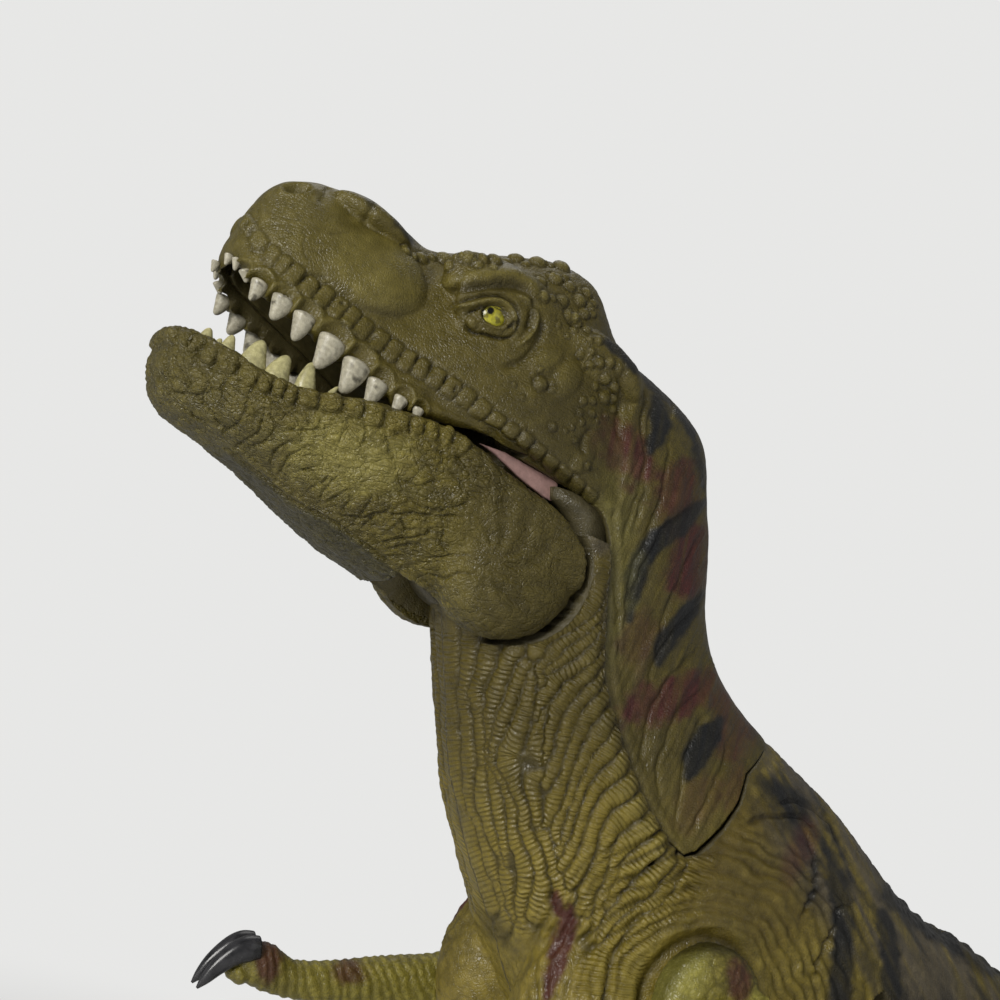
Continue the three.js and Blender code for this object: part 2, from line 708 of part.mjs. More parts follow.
// The tail is modelled along +X with its root at zero, and its peg reaching back along -X.
function tailSolid() {
  const rings = tailShares.map(([along, rise, high, half]) => {
    const middle = new THREE.Vector3(along * tailLength, 0, rise * tailDrop);
    const across = new THREE.Vector3(0, 0, high * tailRootHeight);
    const [low, top] = [middle.clone().sub(across), middle.clone().add(across)];
    return ring(low, top, half * tailRootHalfWidth, 0.2, 2.2, 16);
  });
  const peg = turned(tailPegProfile(0), 14).rotate([0, 0, -90]);
  return skin(rings).add(peg);
}
const tailSocket = turned(tailPegProfile(turnGap), 14).rotate([0, 0, -90])
  .rotate([0, tailLean, 0]).translate([tailRoot.x, 0, tailRoot.z]);

// Screws.

function screw(length) {
  return turned([
    [0, -length], [screwRadius * 2 / 5, -length], [screwRadius, -length + screwRadius * 2],
    [screwRadius, 0], [screwHeadRadius, 0], [screwHeadRadius, screwHeadHeight * 2 / 3],
    [screwHeadRadius * 3 / 4, screwHeadHeight], [0, screwHeadHeight],
  ], 8);
}

// Shares of the trunk's length and drop.
const screwPlaceShares = [[0.17, -0.20], [0.30, -0.68], [0.50, -0.30], [0.60, -0.82], [0.81, -0.85]];
const screwPlaces = screwPlaceShares.map(([x, z]) => [x * trunkLength, z * trunkDrop]);

const screwHoles = joined(screwPlaces.map(([x, z]) =>
  bar(screwRadius + seatGap, x, z, screwDepth - screwLength - seatGap, wide, 10)
    .add(bar(screwHeadRadius + seatGap, x, z, screwDepth - seatGap, wide, 10))));

const springWell = new THREE.CylinderGeometry(springRadius + springWellGap, springRadius + springWellGap,
  springLength + springRadius, 18);
springWell.rotateX(Math.PI / 2);
springWell.translate(springBack, 0, springFoot - seatGap + (springLength + springRadius) / 2);

const trunkWhole = trunkBody.subtract(besideCore(-1)).subtract(besideCore(1)).add(neckCore)
  .subtract(bar(axleRadius + seatGap, 0, 0, -wide, wide))
  .subtract(armSocket(-1)).subtract(armSocket(1)).subtract(hipSocket(-1)).subtract(hipSocket(1))
  .subtract(tailSocket).subtract(screwHoles).subtract(solidOf(springWell));

const halfSpace = (hand) => {
  const far = 2 * trunkLength;
  if (hand < 0) return block(-far, far, -far, -seatGap / 2, -far, far);
  return block(-far, far, seatGap / 2, far, -far, far);
};

// Arms.

// Shares of the arm's reach ahead and fall below the shoulder, its thickness and its side lean.
const armShares = [
  [-0.01, 0.0, 1.1, 0.0], [0.06, 0.28, 1.0, 0.3], [0.14, 0.50, 0.86, 0.7], [0.25, 0.64, 0.72, 1.0],
  [0.40, 0.71, 0.62, 1.0], [0.56, 0.80, 0.53, 0.8], [0.71, 0.86, 0.45, 0.6], [0.80, 0.82, 0.54, 0.5],
  [0.87, 0.77, 0.40, 0.4],
];
const clawShares = [[0.85, 0.72, 1.0], [0.91, 0.70, 0.92], [0.965, 0.79, 0.66], [0.99, 0.98, 0.2]];

// A limb along a path in X and Z: rows of x, z, y, half thickness and half width.
function limb(rows, count, fullness = 2.2) {
  const rings = rows.map(([x, z, y, thick, half], i) => {
    const [before, after] = [rows[Math.max(i - 1, 0)], rows[Math.min(i + 1, rows.length - 1)]];
    const along = new THREE.Vector2(after[0] - before[0], after[1] - before[1]).normalize();
    const across = new THREE.Vector3(-along.y, 0, along.x).multiplyScalar(thick);
    const middle = new THREE.Vector3(x, y, z);
    return ring(middle.clone().sub(across), middle.clone().add(across), half, 0, fullness, count);
  });
  return skin(rings);
}

// The right arm, with the shoulder pin at zero and the disc's inner face on Y = 0.
function armSolid() {
  const middle = shoulderThickness;
  const rows = armShares.map(([ahead, fall, thick, lean]) => [-ahead * armReach, -fall * armFall,
    middle + lean * armLean, thick * armThickness, thick * armThickness * 3 / 4]);
  const disc = turned([[0, 0], [shoulderRadius, 0], [shoulderRadius, shoulderThickness * 3 / 5],
    [shoulderRadius * 7 / 8, shoulderThickness * 9 / 10], [shoulderRadius / 2, shoulderThickness * 11 / 10],
    [0, shoulderThickness * 8 / 7]], 20);
  const peg = turned([[0, -armPegLength], [armPegRadius + armPegHead / 2, -armPegLength],
    [armPegRadius + armPegHead, -armPegLength + armPegHeadLength / 2],
    [armPegRadius, -armPegLength + armPegHeadLength], [armPegRadius, shoulderThickness / 2],
    [0, shoulderThickness / 2]], 14);
  const slit = block(-armPegRadius / 4, armPegRadius / 4, -2 * armPegLength, -armPegLength / 3,
    -2 * armPegRadius, 2 * armPegRadius);
  const claws = [-1, 1].map((side) => limb(clawShares.map(([ahead, fall, thick]) => [
    -ahead * armReach, -fall * armFall, middle + armLean / 2 + side * handClawRadius * 6 / 5,
    thick * handClawRadius, thick * handClawRadius]), 6));
  const arm = limb(rows, 10).subtract(block(-armReach * 2, armReach, -armReach, 0, -armReach, armReach));
  return arm.add(disc).add(peg).subtract(slit).add(joined(claws));
}

// Legs.

// Shares of the leg's height down from the hip and its length fore and aft (back is positive).
// Rows: back, down, half thickness of the length, half width of the thigh's, side of the middle.
const legShares = [
  [0.10, -0.27, 0.17, 0.42, -0.10], [0.07, -0.19, 0.36, 0.74, -0.05], [0.03, -0.06, 0.50, 0.95, 0.0],
  [-0.02, 0.09, 0.52, 1.0, 0.02], [-0.09, 0.24, 0.44, 0.92, 0.04], [-0.17, 0.38, 0.32, 0.78, 0.05],
  [-0.20, 0.48, 0.25, 0.68, 0.05], [-0.12, 0.575, 0.205, 0.62, 0.04], [0.03, 0.665, 0.17, 0.56, 0.03],
  [0.15, 0.745, 0.15, 0.52, 0.02], [0.16, 0.83, 0.14, 0.52, 0.02], [0.07, 0.91, 0.15, 0.58, 0.02],
];
// Toes: start and end behind the hip, as shares of the foot's length; side share of its width.
const toeShares = [[0.34, -0.50, -0.72], [0.34, -0.64, 0.05], [0.34, -0.46, 0.80]];
// A toe's thickness and half width at places along it, and the sole pad's.
const toeStepShares = [
  [0, 0.9, 0.75], [0.3, 1.25, 1.1], [0.6, 0.9, 0.98], [0.78, 0.95, 1.0], [1.0, 0.2, 0.22],
];
const padShares = [
  [0.36, 0.6, 0.45], [0.28, 0.9, 0.72], [0.1, 1.0, 0.95], [-0.06, 0.9, 1.0], [-0.16, 0.6, 0.8],
];

function legSolid() {
  const rows = between(legShares.map(([back, down, thick, half, side]) => [back * legLength,
    -down * legHeight, legMiddle + side * thighHalfWidth, thick * legLength, half * thighHalfWidth]), 1);
  const shin = limb(rows, 10, 2.3);
  const heel = legShares[legShares.length - 1][0] * legLength;
  const toes = toeShares.map(([start, end, side]) => {
    return limb(toeStepShares.map(([t, high, half]) => {
      const x = heel + (start + (end - start) * t) * footLength - footLength / 8;
      const lift = high * toeRadius;
      return [x, -legHeight + lift * 4 / 5, legMiddle + side * footHalfWidth * (1 / 4 + 3 / 4 * t),
        lift, half * toeRadius];
    }), 6, 2.4);
  });
  const pad = limb(padShares.map(([t, high, half]) => [
    heel + t * footLength - footLength / 8, -legHeight + footHeight / 2 * high,
    legMiddle, footHeight / 2 * high, half * footHalfWidth]), 8, 2.6);
  const below = block(-legHeight * 2, legHeight * 2, -legHeight, legHeight * 2, -legHeight * 2, -legHeight);
  const inside = block(-legHeight, legHeight, -legHeight, hipFace, -legHeight * 7 / 10, legHeight);
  const peg = bar(hipPegRadius, 0, 0, hipWallFace + seatGap, hipFace + thighHalfWidth / 2, 20);
  const hole = bar(hipScrewHole + seatGap, 0, 0, 0, hipWallFace + hipScrewLength + cutOver, 12);
  return shin.add(joined(toes)).add(pad).subtract(inside).subtract(below).add(peg).subtract(hole);
}

const legWhole = legSolid();
const legSplit = legMiddle + seatGap;
const legReach = 2 * legHeight;
const legInner = legWhole.intersect(
  block(-legReach, legReach, 0, legSplit - seatGap / 2, -legReach, legReach));
const legOuter = legWhole.intersect(
  block(-legReach, legReach, legSplit + seatGap / 2, legReach, -legReach, legReach));

const washer = bar(washerRadius, 0, 0, hipWallFace - washerThickness - seatGap, hipWallFace - seatGap, 20)
  .subtract(bar(hipScrewHole + seatGap, 0, 0, 0, hipWallFace, 12));

// Return spring.

class SpringLine extends THREE.Curve {
  getPoint(t, target = new THREE.Vector3()) {
    const angle = 2 * Math.PI * springTurns * t;
    const radius = springRadius - springWire / 2;
    return target.set(radius * Math.cos(angle), radius * Math.sin(angle), t * (springLength - springWire));
  }
}

function springSolid() {
  const section = new THREE.Shape();
  for (let k = 0; k < 5; k++) {
    const turn = 2 * Math.PI * k / 5;
    const [x, y] = [Math.cos(turn), Math.sin(turn)].map((v) => v * springWire / 2);
    if (k === 0) section.moveTo(x, y);
    else section.lineTo(x, y);
  }
  return solidOf(new THREE.ExtrudeGeometry(section, {
    steps: springTurns * 7, bevelEnabled: false, extrudePath: new SpringLine(),
  }));
}

// The figure.

const figure = new THREE.Group();
figure.name = 'toy_dinosaur';

const body = new THREE.Group();
body.position.set(-axleAhead, 0, axleHeight);
figure.add(body);

body.add(meshOf('torso_left_shell', trunkWhole.intersect(halfSpace(-1)), paint(throatOlive)));
body.add(meshOf('torso_right_shell', trunkWhole.intersect(halfSpace(1)), paint(throatOlive)));
body.add(meshOf('jaw_axle', bar(axleRadius, 0, 0, -axleHalfLength, axleHalfLength, 16), paint(steel, 0.3, 1)));

screwPlaces.forEach(([x, z], i) => {
  const mesh = meshOf(`torso_screw_${i + 1}`, screw(screwLength), paint(steel, 0.35, 1));
  mesh.position.set(x, screwDepth, z);
  body.add(mesh);
});

const spring = meshOf('return_spring', springSolid(), paint(steel, 0.3, 1));
spring.position.set(springBack, 0, springFoot + springWire / 2);
body.add(spring);

body.add(meshOf('head_shell', headSolid, paint(olive)));
body.add(meshOf('mouth_roof', palate(), paint(pink, 0.55)));
body.add(meshOf('lower_jaw', jawSolid, paint(olive)));
body.add(meshOf('tongue', tongue(), paint(pink, 0.55)));

for (const [side, hand] of [['left', -1], ['right', 1]]) {
  const shoulder = new THREE.Group();
  shoulder.position.set(shoulderBack, hand * (shoulderFace + seatGap), -shoulderDrop);
  const arm = armSolid();
  shoulder.rotation.y = hand < 0 ? -rad(leftArmTurn) : 0;
  shoulder.add(meshOf(`${side}_arm`, hand < 0 ? mirrored(arm) : arm, paint(olive)));
  body.add(shoulder);

  const hip = new THREE.Group();
  hip.position.set(hipBack, 0, -hipDrop);
  const pick = (solid) => (hand < 0 ? mirrored(solid) : solid);
  hip.add(meshOf(`${side}_leg_inner`, pick(legInner), paint(olive)));
  hip.add(meshOf(`${side}_leg_outer`, pick(legOuter), paint(olive)));
  hip.add(meshOf(`${side}_hip_washer`, pick(washer), paint(steel, 0.35, 1)));
  const hipScrew = screw(hipScrewLength).rotate([180, 0, 0])
    .translate([0, hipWallFace - washerThickness - 2 * seatGap, 0]);
  hip.add(meshOf(`${side}_hip_screw`, pick(hipScrew), paint(steel, 0.35, 1)));
  body.add(hip);
}

const tail = new THREE.Group();
tail.position.set(tailRoot.x, 0, tailRoot.z);
tail.rotation.y = rad(tailLean);
const tailMesh = meshOf('tail', tailSolid(), paint(olive));
tailMesh.position.x = turnGap;
tail.add(tailMesh);
body.add(tail);

export default figure;
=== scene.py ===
"""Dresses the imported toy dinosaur: sculpted, painted skins around the fixed frame, teeth, eyes,
claws, a plain pale floor, soft lamps and a camera at the photograph's viewing angle.

Shapes are made in millimetres from the jaw axle (x back, y to the right side, z up) and put
into the frame in metres at the end. Details are placed by the pixel of the photograph that
they fall on, seen from the camera, and are the same on both sides of the animal."""

import itertools
import json
import math

import bpy
import numpy as np
from mathutils import Matrix, Vector
from mathutils.bvhtree import BVHTree

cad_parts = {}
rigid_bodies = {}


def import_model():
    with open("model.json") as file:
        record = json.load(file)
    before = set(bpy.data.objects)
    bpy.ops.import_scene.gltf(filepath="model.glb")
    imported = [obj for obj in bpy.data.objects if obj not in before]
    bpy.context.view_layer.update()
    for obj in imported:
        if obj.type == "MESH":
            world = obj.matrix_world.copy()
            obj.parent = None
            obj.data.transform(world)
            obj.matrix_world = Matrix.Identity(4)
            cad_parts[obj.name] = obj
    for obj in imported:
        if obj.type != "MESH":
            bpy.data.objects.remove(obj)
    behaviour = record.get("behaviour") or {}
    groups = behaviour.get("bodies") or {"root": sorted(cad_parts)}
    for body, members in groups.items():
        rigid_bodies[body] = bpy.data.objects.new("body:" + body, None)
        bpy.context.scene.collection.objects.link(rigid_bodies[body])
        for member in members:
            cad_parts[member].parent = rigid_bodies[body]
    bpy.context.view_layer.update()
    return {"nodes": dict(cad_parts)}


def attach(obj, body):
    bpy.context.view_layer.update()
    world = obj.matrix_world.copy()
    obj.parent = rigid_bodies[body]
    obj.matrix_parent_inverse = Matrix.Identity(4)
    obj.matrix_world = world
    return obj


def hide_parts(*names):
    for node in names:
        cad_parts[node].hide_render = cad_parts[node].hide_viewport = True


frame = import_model()
scene = bpy.context.scene
MM = 0.001
AXLE = np.array([-129.0, 0.0, 160.0])

# Camera of the photograph
PITCH, TURN = math.radians(22), math.radians(27)
FOCAL = 1470.0
IMAGE_UP = np.array([-math.sin(PITCH), 0, math.cos(PITCH)])
TO_EYE = np.array([-math.sin(TURN) * math.cos(PITCH), -math.cos(TURN), -math.sin(TURN) * math.sin(PITCH)])
IMAGE_RIGHT = np.array([math.cos(TURN) * math.cos(PITCH), -math.sin(TURN), math.cos(TURN) * math.sin(PITCH)])
EYE = np.array([-94.34, -203.02, -28.03])


def photo(points, mirror=True):
    """The photograph's pixel of each point; the far side is folded onto the near one."""
    p = np.array(points, float).reshape(-1, 3)
    if mirror:
        p[:, 1] = -np.abs(p[:, 1])
    p = p - EYE
    depth = -(p @ TO_EYE)
    return np.stack([500 + FOCAL * (p @ IMAGE_RIGHT) / depth, 500 - FOCAL * (p @ IMAGE_UP) / depth], 1)


def sight(u, v):
    """The direction from the camera through a pixel."""
    d = -TO_EYE * FOCAL + IMAGE_RIGHT * (u - 500) + IMAGE_UP * (500 - v)
    return d / np.linalg.norm(d)


def at(u, v, y):
    """The point on the plane at y that a pixel shows."""
    d = sight(u, v)
    return EYE + d * (y - EYE[1]) / d[1]


# Number tools
def smooth(low, high, x):
    t = np.clip((np.asarray(x, float) - low) / (high - low), 0, 1)
    return t * t * (3 - 2 * t)


def hashed(cell, seed):
    """A number from 0 to 1 for each whole-number cell."""
    def mixed_up(h, shift, factor):
        return (h ^ (h >> np.uint64(shift))) * np.uint64(factor) & np.uint64(0xFFFFFFFF)

    c = cell.astype(np.int64).astype(np.uint64)
    h = c[..., 0] * np.uint64(73856093) ^ c[..., 1] * np.uint64(19349663) ^ c[..., 2] * np.uint64(83492791)
    h = mixed_up(mixed_up(h ^ np.uint64(seed * 2654435761 & 0xFFFFFFFF), 13, 1274126177), 16, 2246822519)
    return (h ^ (h >> np.uint64(15))).astype(float) / 4294967295.0


def noise(p, size, seed=1, octaves=1):
    """Smooth noise from -1 to 1 with features of that size."""
    total, weight, amount = 0.0, 0.0, 1.0
    for o in range(octaves):
        q = np.asarray(p, float) / size * 2 ** o
        cell = np.floor(q)
        f = q - cell
        f = f * f * (3 - 2 * f)
        value = 0.0
        for k in range(8):
            corner = np.array([k & 1, k >> 1 & 1, k >> 2 & 1], float)
            w = np.prod(np.where(corner > 0, f, 1 - f), axis=-1)
            value = value + w * hashed(cell + corner, seed + o)
        total, weight = total + amount * (value * 2 - 1), weight + amount
        amount *= 0.5
    return total / weight


def flat3(uv):
    return np.column_stack([uv, np.zeros(len(uv))])


def cells(p, size, seed):
    """Distances to the nearest and second nearest scattered points, in cell sizes, and the
    nearest one's own number."""
    q = np.asarray(p, float) / size
    base = np.floor(q)
    near = np.full(len(q), 9.0)
    second, own = near.copy(), np.zeros(len(q))
    for step in itertools.product((-1, 0, 1), repeat=3):
        c = base + np.array(step, float)
        dot = np.stack([hashed(c, seed + n) for n in range(3)], 1)
        d = np.linalg.norm(c + dot * 0.9 - q, axis=1)
        nearer = d < near
        second = np.where(nearer, near, np.minimum(second, d))
        own = np.where(nearer, hashed(c, seed + 5), own)
        near = np.where(nearer, d, near)
    return near, second, own


def creases(p, size, thin, seed):
    """Thin wandering lines, 1 in the middle of a line, where a smooth noise crosses zero."""
    return np.exp(-(noise(p, size, seed) / thin) ** 2)


def turn_by(degrees):
    return math.cos(math.radians(degrees)), math.sin(math.radians(degrees))


def oval(uv, x, y, a, b, turn):
    """How far along and across a turned oval each pixel lies, 1 at its ends and sides."""
    c, s = turn_by(turn)
    dx, dy = (uv - (x, y)).T
    return (dx * c + dy * s) / a, (-dx * s + dy * c) / b


def grain_along(p, angle, stretch):
    """Points drawn out along one direction of the animal's side, in degrees up from straight back."""
    c, s = turn_by(angle)
    return np.column_stack([(p[:, 0] * c + p[:, 2] * s) / stretch, p[:, 1], -p[:, 0] * s + p[:, 2] * c])


def along(uv, line):
    """Distance to a drawn line, how far along it, and the side, in pixels."""
    line = np.array(line, float)
    best = np.full(len(uv), 1e9)
    reach, side, start = np.zeros(len(uv)), np.zeros(len(uv)), 0.0
    for a, b in zip(line[:-1], line[1:]):
        step = b - a
        size = np.linalg.norm(step)
        t = np.clip(((uv - a) @ step) / size ** 2, 0, 1)
        off = uv - a - t[:, None] * step
        d = np.linalg.norm(off, axis=1)
        nearer = d < best
        best = np.where(nearer, d, best)
        reach = np.where(nearer, start + t * size, reach)
        side = np.where(nearer, np.sign(step[0] * off[:, 1] - step[1] * off[:, 0]), side)
        start += size
    return best, reach, side


def listed(text):
    """A list of rows of numbers, written as 1,2,3 4,5,6 and so on."""
    return [tuple(map(float, row.split(","))) for row in text.split()]


def seen_in(view, points):
    """Points read off an enlarged view of the photograph, in its pixels."""
    x, y, scale = view
    return [(x + p[0] / scale, y + p[1] / scale) + tuple(p[2:]) for p in points]


def drawn(text, view=(0, 0, 1)):
    """A list of drawn lines with a semicolon between them, read off an enlarged view."""
    return [seen_in(view, listed(line)) for line in text.split(";")]


# Enlarged views: the pixel of their corner, and how many times they enlarge.
# PIXELS is how many of them make a millimetre at the head's near side.
PIXELS = 6.45
SNOUT_VIEW = (180, 150, 5.227)
EYE_VIEW = (400, 220, 6.031)
JAW_VIEW = (120, 300, 4.3556)
THROAT_VIEW = (420, 560, 3.563)
CAPE_VIEW = (560, 330, 2.852)


# Solids
def between(rows, steps=5):
    """A smooth curve through rows of numbers."""
    rows = np.array(rows, float)
    out = []
    for i in range(len(rows) - 1):
        p, a, b, n = (rows[min(max(j, 0), len(rows) - 1)] for j in (i - 1, i, i + 1, i + 2))
        for t in np.arange(steps) / steps:
            out.append(a + (b - p) / 2 * t + (p - 2.5 * a + 2 * b - n / 2) * t * t
                       + (-p / 2 + 1.5 * a - 1.5 * b + n / 2) * t ** 3)
    out.append(rows[-1])
    return np.array(out)


def ring(low, high, half, taper, fullness, count, waist=0.5, low_fullness=None):
    """Closed rings from low points to high points, widest at the waist between them."""
    angle = 2 * np.pi * np.arange(count) / count
    c, s = np.cos(angle)[None, :], np.sin(angle)[None, :]
    half, taper, fullness = (np.asarray(x, float).reshape(-1, 1) for x in (half, taper, fullness))
    low_fullness = fullness if low_fullness is None else np.asarray(low_fullness, float).reshape(-1, 1)
    power = 2 / np.where(c < 0, low_fullness, fullness)
    up = np.sign(c) * np.abs(c) ** power
    rise = waist + up * np.where(up < 0, waist, 1 - waist)
    out = low[:, None, :] + (high - low)[:, None, :] * rise[..., None]
    out[..., 1] += np.sign(s) * np.abs(s) ** power * half * (1 - taper * rise)
    return out


def skin(rings):
    rows, count = rings.shape[:2]
    grid = np.arange(rows * count).reshape(rows, count)
    after = np.roll(grid, -1, 1)
    quads = np.stack([grid[:-1], after[:-1], after[1:], grid[1:]], -1).reshape(-1, 4).tolist()
    points = np.vstack([rings.reshape(-1, 3), rings[0].mean(0), rings[-1].mean(0)])
    first, last = rows * count, rows * count + 1
    quads += [(first, b, a) for a, b in zip(grid[0], after[0])]
    quads += [(last, a, b) for a, b in zip(grid[-1], after[-1])]
    return points, quads


def placed(name, data):
    """A new object in the scene."""
    obj = bpy.data.objects.new(name, data)
    scene.collection.objects.link(obj)
    return obj


def made(points, faces):
    """A mesh object from points and faces, turned so that its faces look outward."""
    mesh = bpy.data.meshes.new("part")
    mesh.from_pydata(np.asarray(points, float).tolist(), [], [list(map(int, f)) for f in faces])
    mesh.update()
    mesh.calc_loop_triangles()
    corners = np.zeros(len(mesh.loop_triangles) * 3, np.int32)
    mesh.loop_triangles.foreach_get("vertices", corners)
    a, b, c = np.asarray(points, float)[corners.reshape(-1, 3)].transpose(1, 0, 2)
    if np.einsum("ij,ij->i", a, np.cross(b, c)).sum() < 0:
        mesh.flip_normals()
    return placed("part", mesh)


def lofted(rings):
    return made(*skin(rings))


def slab(outline, y0, y1):
    n = len(outline)
    points = [(x, y, z) for y in (y0, y1) for x, z in outline]
    faces = [list(range(n)), list(range(2 * n - 1, n - 1, -1))]
    faces += [((i + 1) % n, i, i + n, (i + 1) % n + n) for i in range(n)]
    return made(points, faces)


def turned(profile, sides=64):
    """A turned solid along +Y from a profile of (radius, place along Y)."""
    angle = 2 * np.pi * np.arange(sides) / sides
    rows = [np.column_stack([r * np.cos(angle), np.full(sides, float(y)), r * np.sin(angle)])
            for r, y in profile if r > 0]
    return made(*skin(np.array(rows)))


def bar(radius, x, z, y0, y1, sides=64):
    return shifted(turned([(radius, y0), (radius, y1)], sides), (x, 0, z))


def block(x0, x1, y0, y1, z0, z1):
    return slab([(x0, z0), (x1, z0), (x1, z1), (x0, z1)], y0, y1)


def ball(centre, sizes, lean=0.0, rows=24):
    """An ellipsoid, leaning about Y."""
    t = np.linspace(0, np.pi, rows + 1)[1:-1]
    angle = 2 * np.pi * np.arange(rows * 2) / (rows * 2)
    p = np.stack([np.outer(np.sin(t), np.cos(angle)), np.outer(np.cos(t), np.ones(rows * 2)),
                  np.outer(np.sin(t), np.sin(angle))], -1) * np.array(sizes)
    c, s = math.cos(lean), math.sin(lean)
    p = np.stack([p[..., 0] * c + p[..., 2] * s, p[..., 1], -p[..., 0] * s + p[..., 2] * c], -1)
    return made(*skin(p + np.array(centre)))


def points_of(obj):
    p = np.zeros(len(obj.data.vertices) * 3)
    obj.data.vertices.foreach_get("co", p)
    return p.reshape(-1, 3)


def put_points(obj, points):
    obj.data.vertices.foreach_set("co", np.asarray(points, float).ravel())
    obj.data.update()


def shifted(obj, by):
    put_points(obj, points_of(obj) + np.array(by, float))
    return obj


def turned_about(obj, degrees, centre=(0, 0, 0)):
    """Turned about +Y through a centre."""
    c, s = turn_by(degrees)
    p = points_of(obj) - np.array(centre, float)
    x, z = p[:, 0] * c + p[:, 2] * s, -p[:, 0] * s + p[:, 2] * c
    put_points(obj, np.column_stack([x, p[:, 1], z]) + np.array(centre, float))
    return obj


def copied(obj):
    return placed(obj.name, obj.data.copy())


def flipped(obj):
    """Changed to its mirror image for the other side."""
    put_points(obj, points_of(obj) * np.array([1, -1, 1]))
    obj.data.flip_normals()
    return obj


def mirrored(obj):
    return flipped(copied(obj))


def baked(obj):
    done = bpy.data.meshes.new_from_object(obj.evaluated_get(bpy.context.evaluated_depsgraph_get()))
    obj.modifiers.clear()
    old, obj.data = obj.data, done
    bpy.data.meshes.remove(old)
    return obj


def combined(obj, other, operation):
    mod = obj.modifiers.new("solid", "BOOLEAN")
    mod.solver, mod.operation, mod.object = "MANIFOLD", operation, other
    baked(obj)
    bpy.data.objects.remove(other)
    return obj


def cut(obj, *others):
    for other in others:
        combined(obj, other, "DIFFERENCE")
    return obj


def union(obj, *others):
    for other in others:
        combined(obj, other, "UNION")
    return obj


def common(obj, other):
    return combined(obj, other, "INTERSECT")


def merged(*objs):
    """The objects as one mesh, overlaps left for the remesh to close."""
    points, faces, start = [], [], 0
    for o in objs:
        points.append(points_of(o))
        faces += [[start + v for v in f.vertices] for f in o.data.polygons]
        start += len(o.data.vertices)
        bpy.data.objects.remove(o)
    mesh = bpy.data.meshes.new("merged")
    mesh.from_pydata(np.vstack(points).tolist(), [], faces)
    return placed("merged", mesh)


def remeshed(obj, size, rounds):
    """One even skin over everything in obj, smoothed a number of times."""
    mod = obj.modifiers.new("even", "REMESH")
    mod.mode, mod.voxel_size = "VOXEL", size * 1
    if rounds:
        mod = obj.modifiers.new("soft", "SMOOTH")
        mod.factor, mod.iterations = 0.5, max(1, rounds // (1))
    return baked(obj)


def normals_of(obj):
    n = np.zeros(len(obj.data.vertices) * 3)
    obj.data.vertex_normals.foreach_get("vector", n)
    return n.reshape(-1, 3)


def attribute(obj, name, values):
    mesh = obj.data
    found = mesh.attributes.get(name) or mesh.attributes.new(name, "FLOAT", "POINT")
    found.data.foreach_set("value", np.broadcast_to(values, len(mesh.vertices)).astype(np.float32))


def values_of(obj, name):
    v = np.zeros(len(obj.data.vertices), np.float32)
    found = obj.data.attributes.get(name)
    if found:
        found.data.foreach_get("value", v)
    return v.astype(float)


def sculpted(obj, relief):
    """Moves a skin along its normals by relief(points, normals), and marks it as outer skin."""
    p, n = points_of(obj), normals_of(obj)
    height, extra = relief(p, n)
    put_points(obj, p + n * height[:, None])
    attribute(obj, "skin", 1.0)
    attribute(obj, "relief", height)
    for name, values in extra.items():
        attribute(obj, name, values)
    return obj


# The part's own measures
SEAT, TURNING, SEAM, OVER = 0.3, 0.4, 0.55, 2.0
HEAD_TILT, HEAD_LENGTH, HEAD_HEIGHT, HEAD_HALF = math.radians(10), 58.0, 47.0, 18.0
HEAD_WALL, PALATE_RISE = 2.8, 6.0
JAW_LENGTH, JAW_DEPTH, JAW_HALF, JAW_WALL, JAW_FLOOR = 56.0, 13.0, 18.0, 2.6, 2.4
CHEEK_RADIUS, CHEEK_FACE = 11.2, 9.5
AXLE_RADIUS, AXLE_HALF, CORE_RADIUS, CORE_HALF, EAR_RADIUS, EAR_THICK = 1.6, 13.0, 8.0, 6.0, 6.0, 2.5
EAR_IN = CORE_HALF + TURNING
EAR_OUT = EAR_IN + EAR_THICK
TRUNK_LENGTH, TRUNK_DROP, TRUNK_HALF = 152.0, 96.0, 28.0
SHELL_REACH, SHELL_DROP, SHELL_WALL, SHELL_INSET, SHELL_LIP = 60.0, 31.0, 1.8, 1.5, 1.1
CORE_SIDE, CORE_TOP, CORE_LOW, TRAVEL = 1.9, 1.2, 9.0, 6.0
SHOULDER = np.array([49.5, 22.0, -50.0])
SHOULDER_RADIUS, SHOULDER_THICK, PEG_RADIUS, PEG_LENGTH = 8.8, 5.2, 3.6, 9.0
ARM_REACH, ARM_FALL, ARM_THICK, ARM_LEAN, LEFT_ARM_TURN = 58.0, 25.0, 7.0, 1.5, 62.0
HIP_BACK, HIP_DROP, HIP_FACE, HIP_PEG, HIP_WALL = 104.0, 66.0, 18.5, 5.0, 10.5
LEG_HEIGHT, LEG_LENGTH, THIGH_HALF, LEG_MIDDLE = 94.0, 50.0, 10.5, 27.0
FOOT_HEIGHT, FOOT_LENGTH, FOOT_HALF, TOE_RADIUS = 9.0, 60.0, 10.0, 4.2
TAIL_LENGTH, TAIL_HEIGHT, TAIL_HALF, TAIL_DROP = 158.0, 20.0, 16.5, 20.0
SCREW_RADIUS, SCREW_HEAD, SCREW_DEPTH, SCREW_LENGTH = 1.35, 2.7, 5.5, 14.0
WIDE = TRUNK_HALF + OVER
WASHER_ROOM, HIP_SWING, THIGH_SWING, THIGH_BELOW, HIP_HOLE, HIP_HOLE_LENGTH = 8.6, 30, 38, 14, 1.5, 12
FLANGE_RADIUS, FLANGE_END, FLANGE_NECK, NECK_RADIUS, NECK_END = 7.9, -13, -10, 5.5, 6.5
SPRING_RADIUS, SPRING_LOW, SPRING_HIGH, SPRING_BACK, SPRING_DROP = 4.0, -0.3, 15.9, 48.5, 30
EYE_RADIUS, EYE_DEPTH = 2.85, 2.95

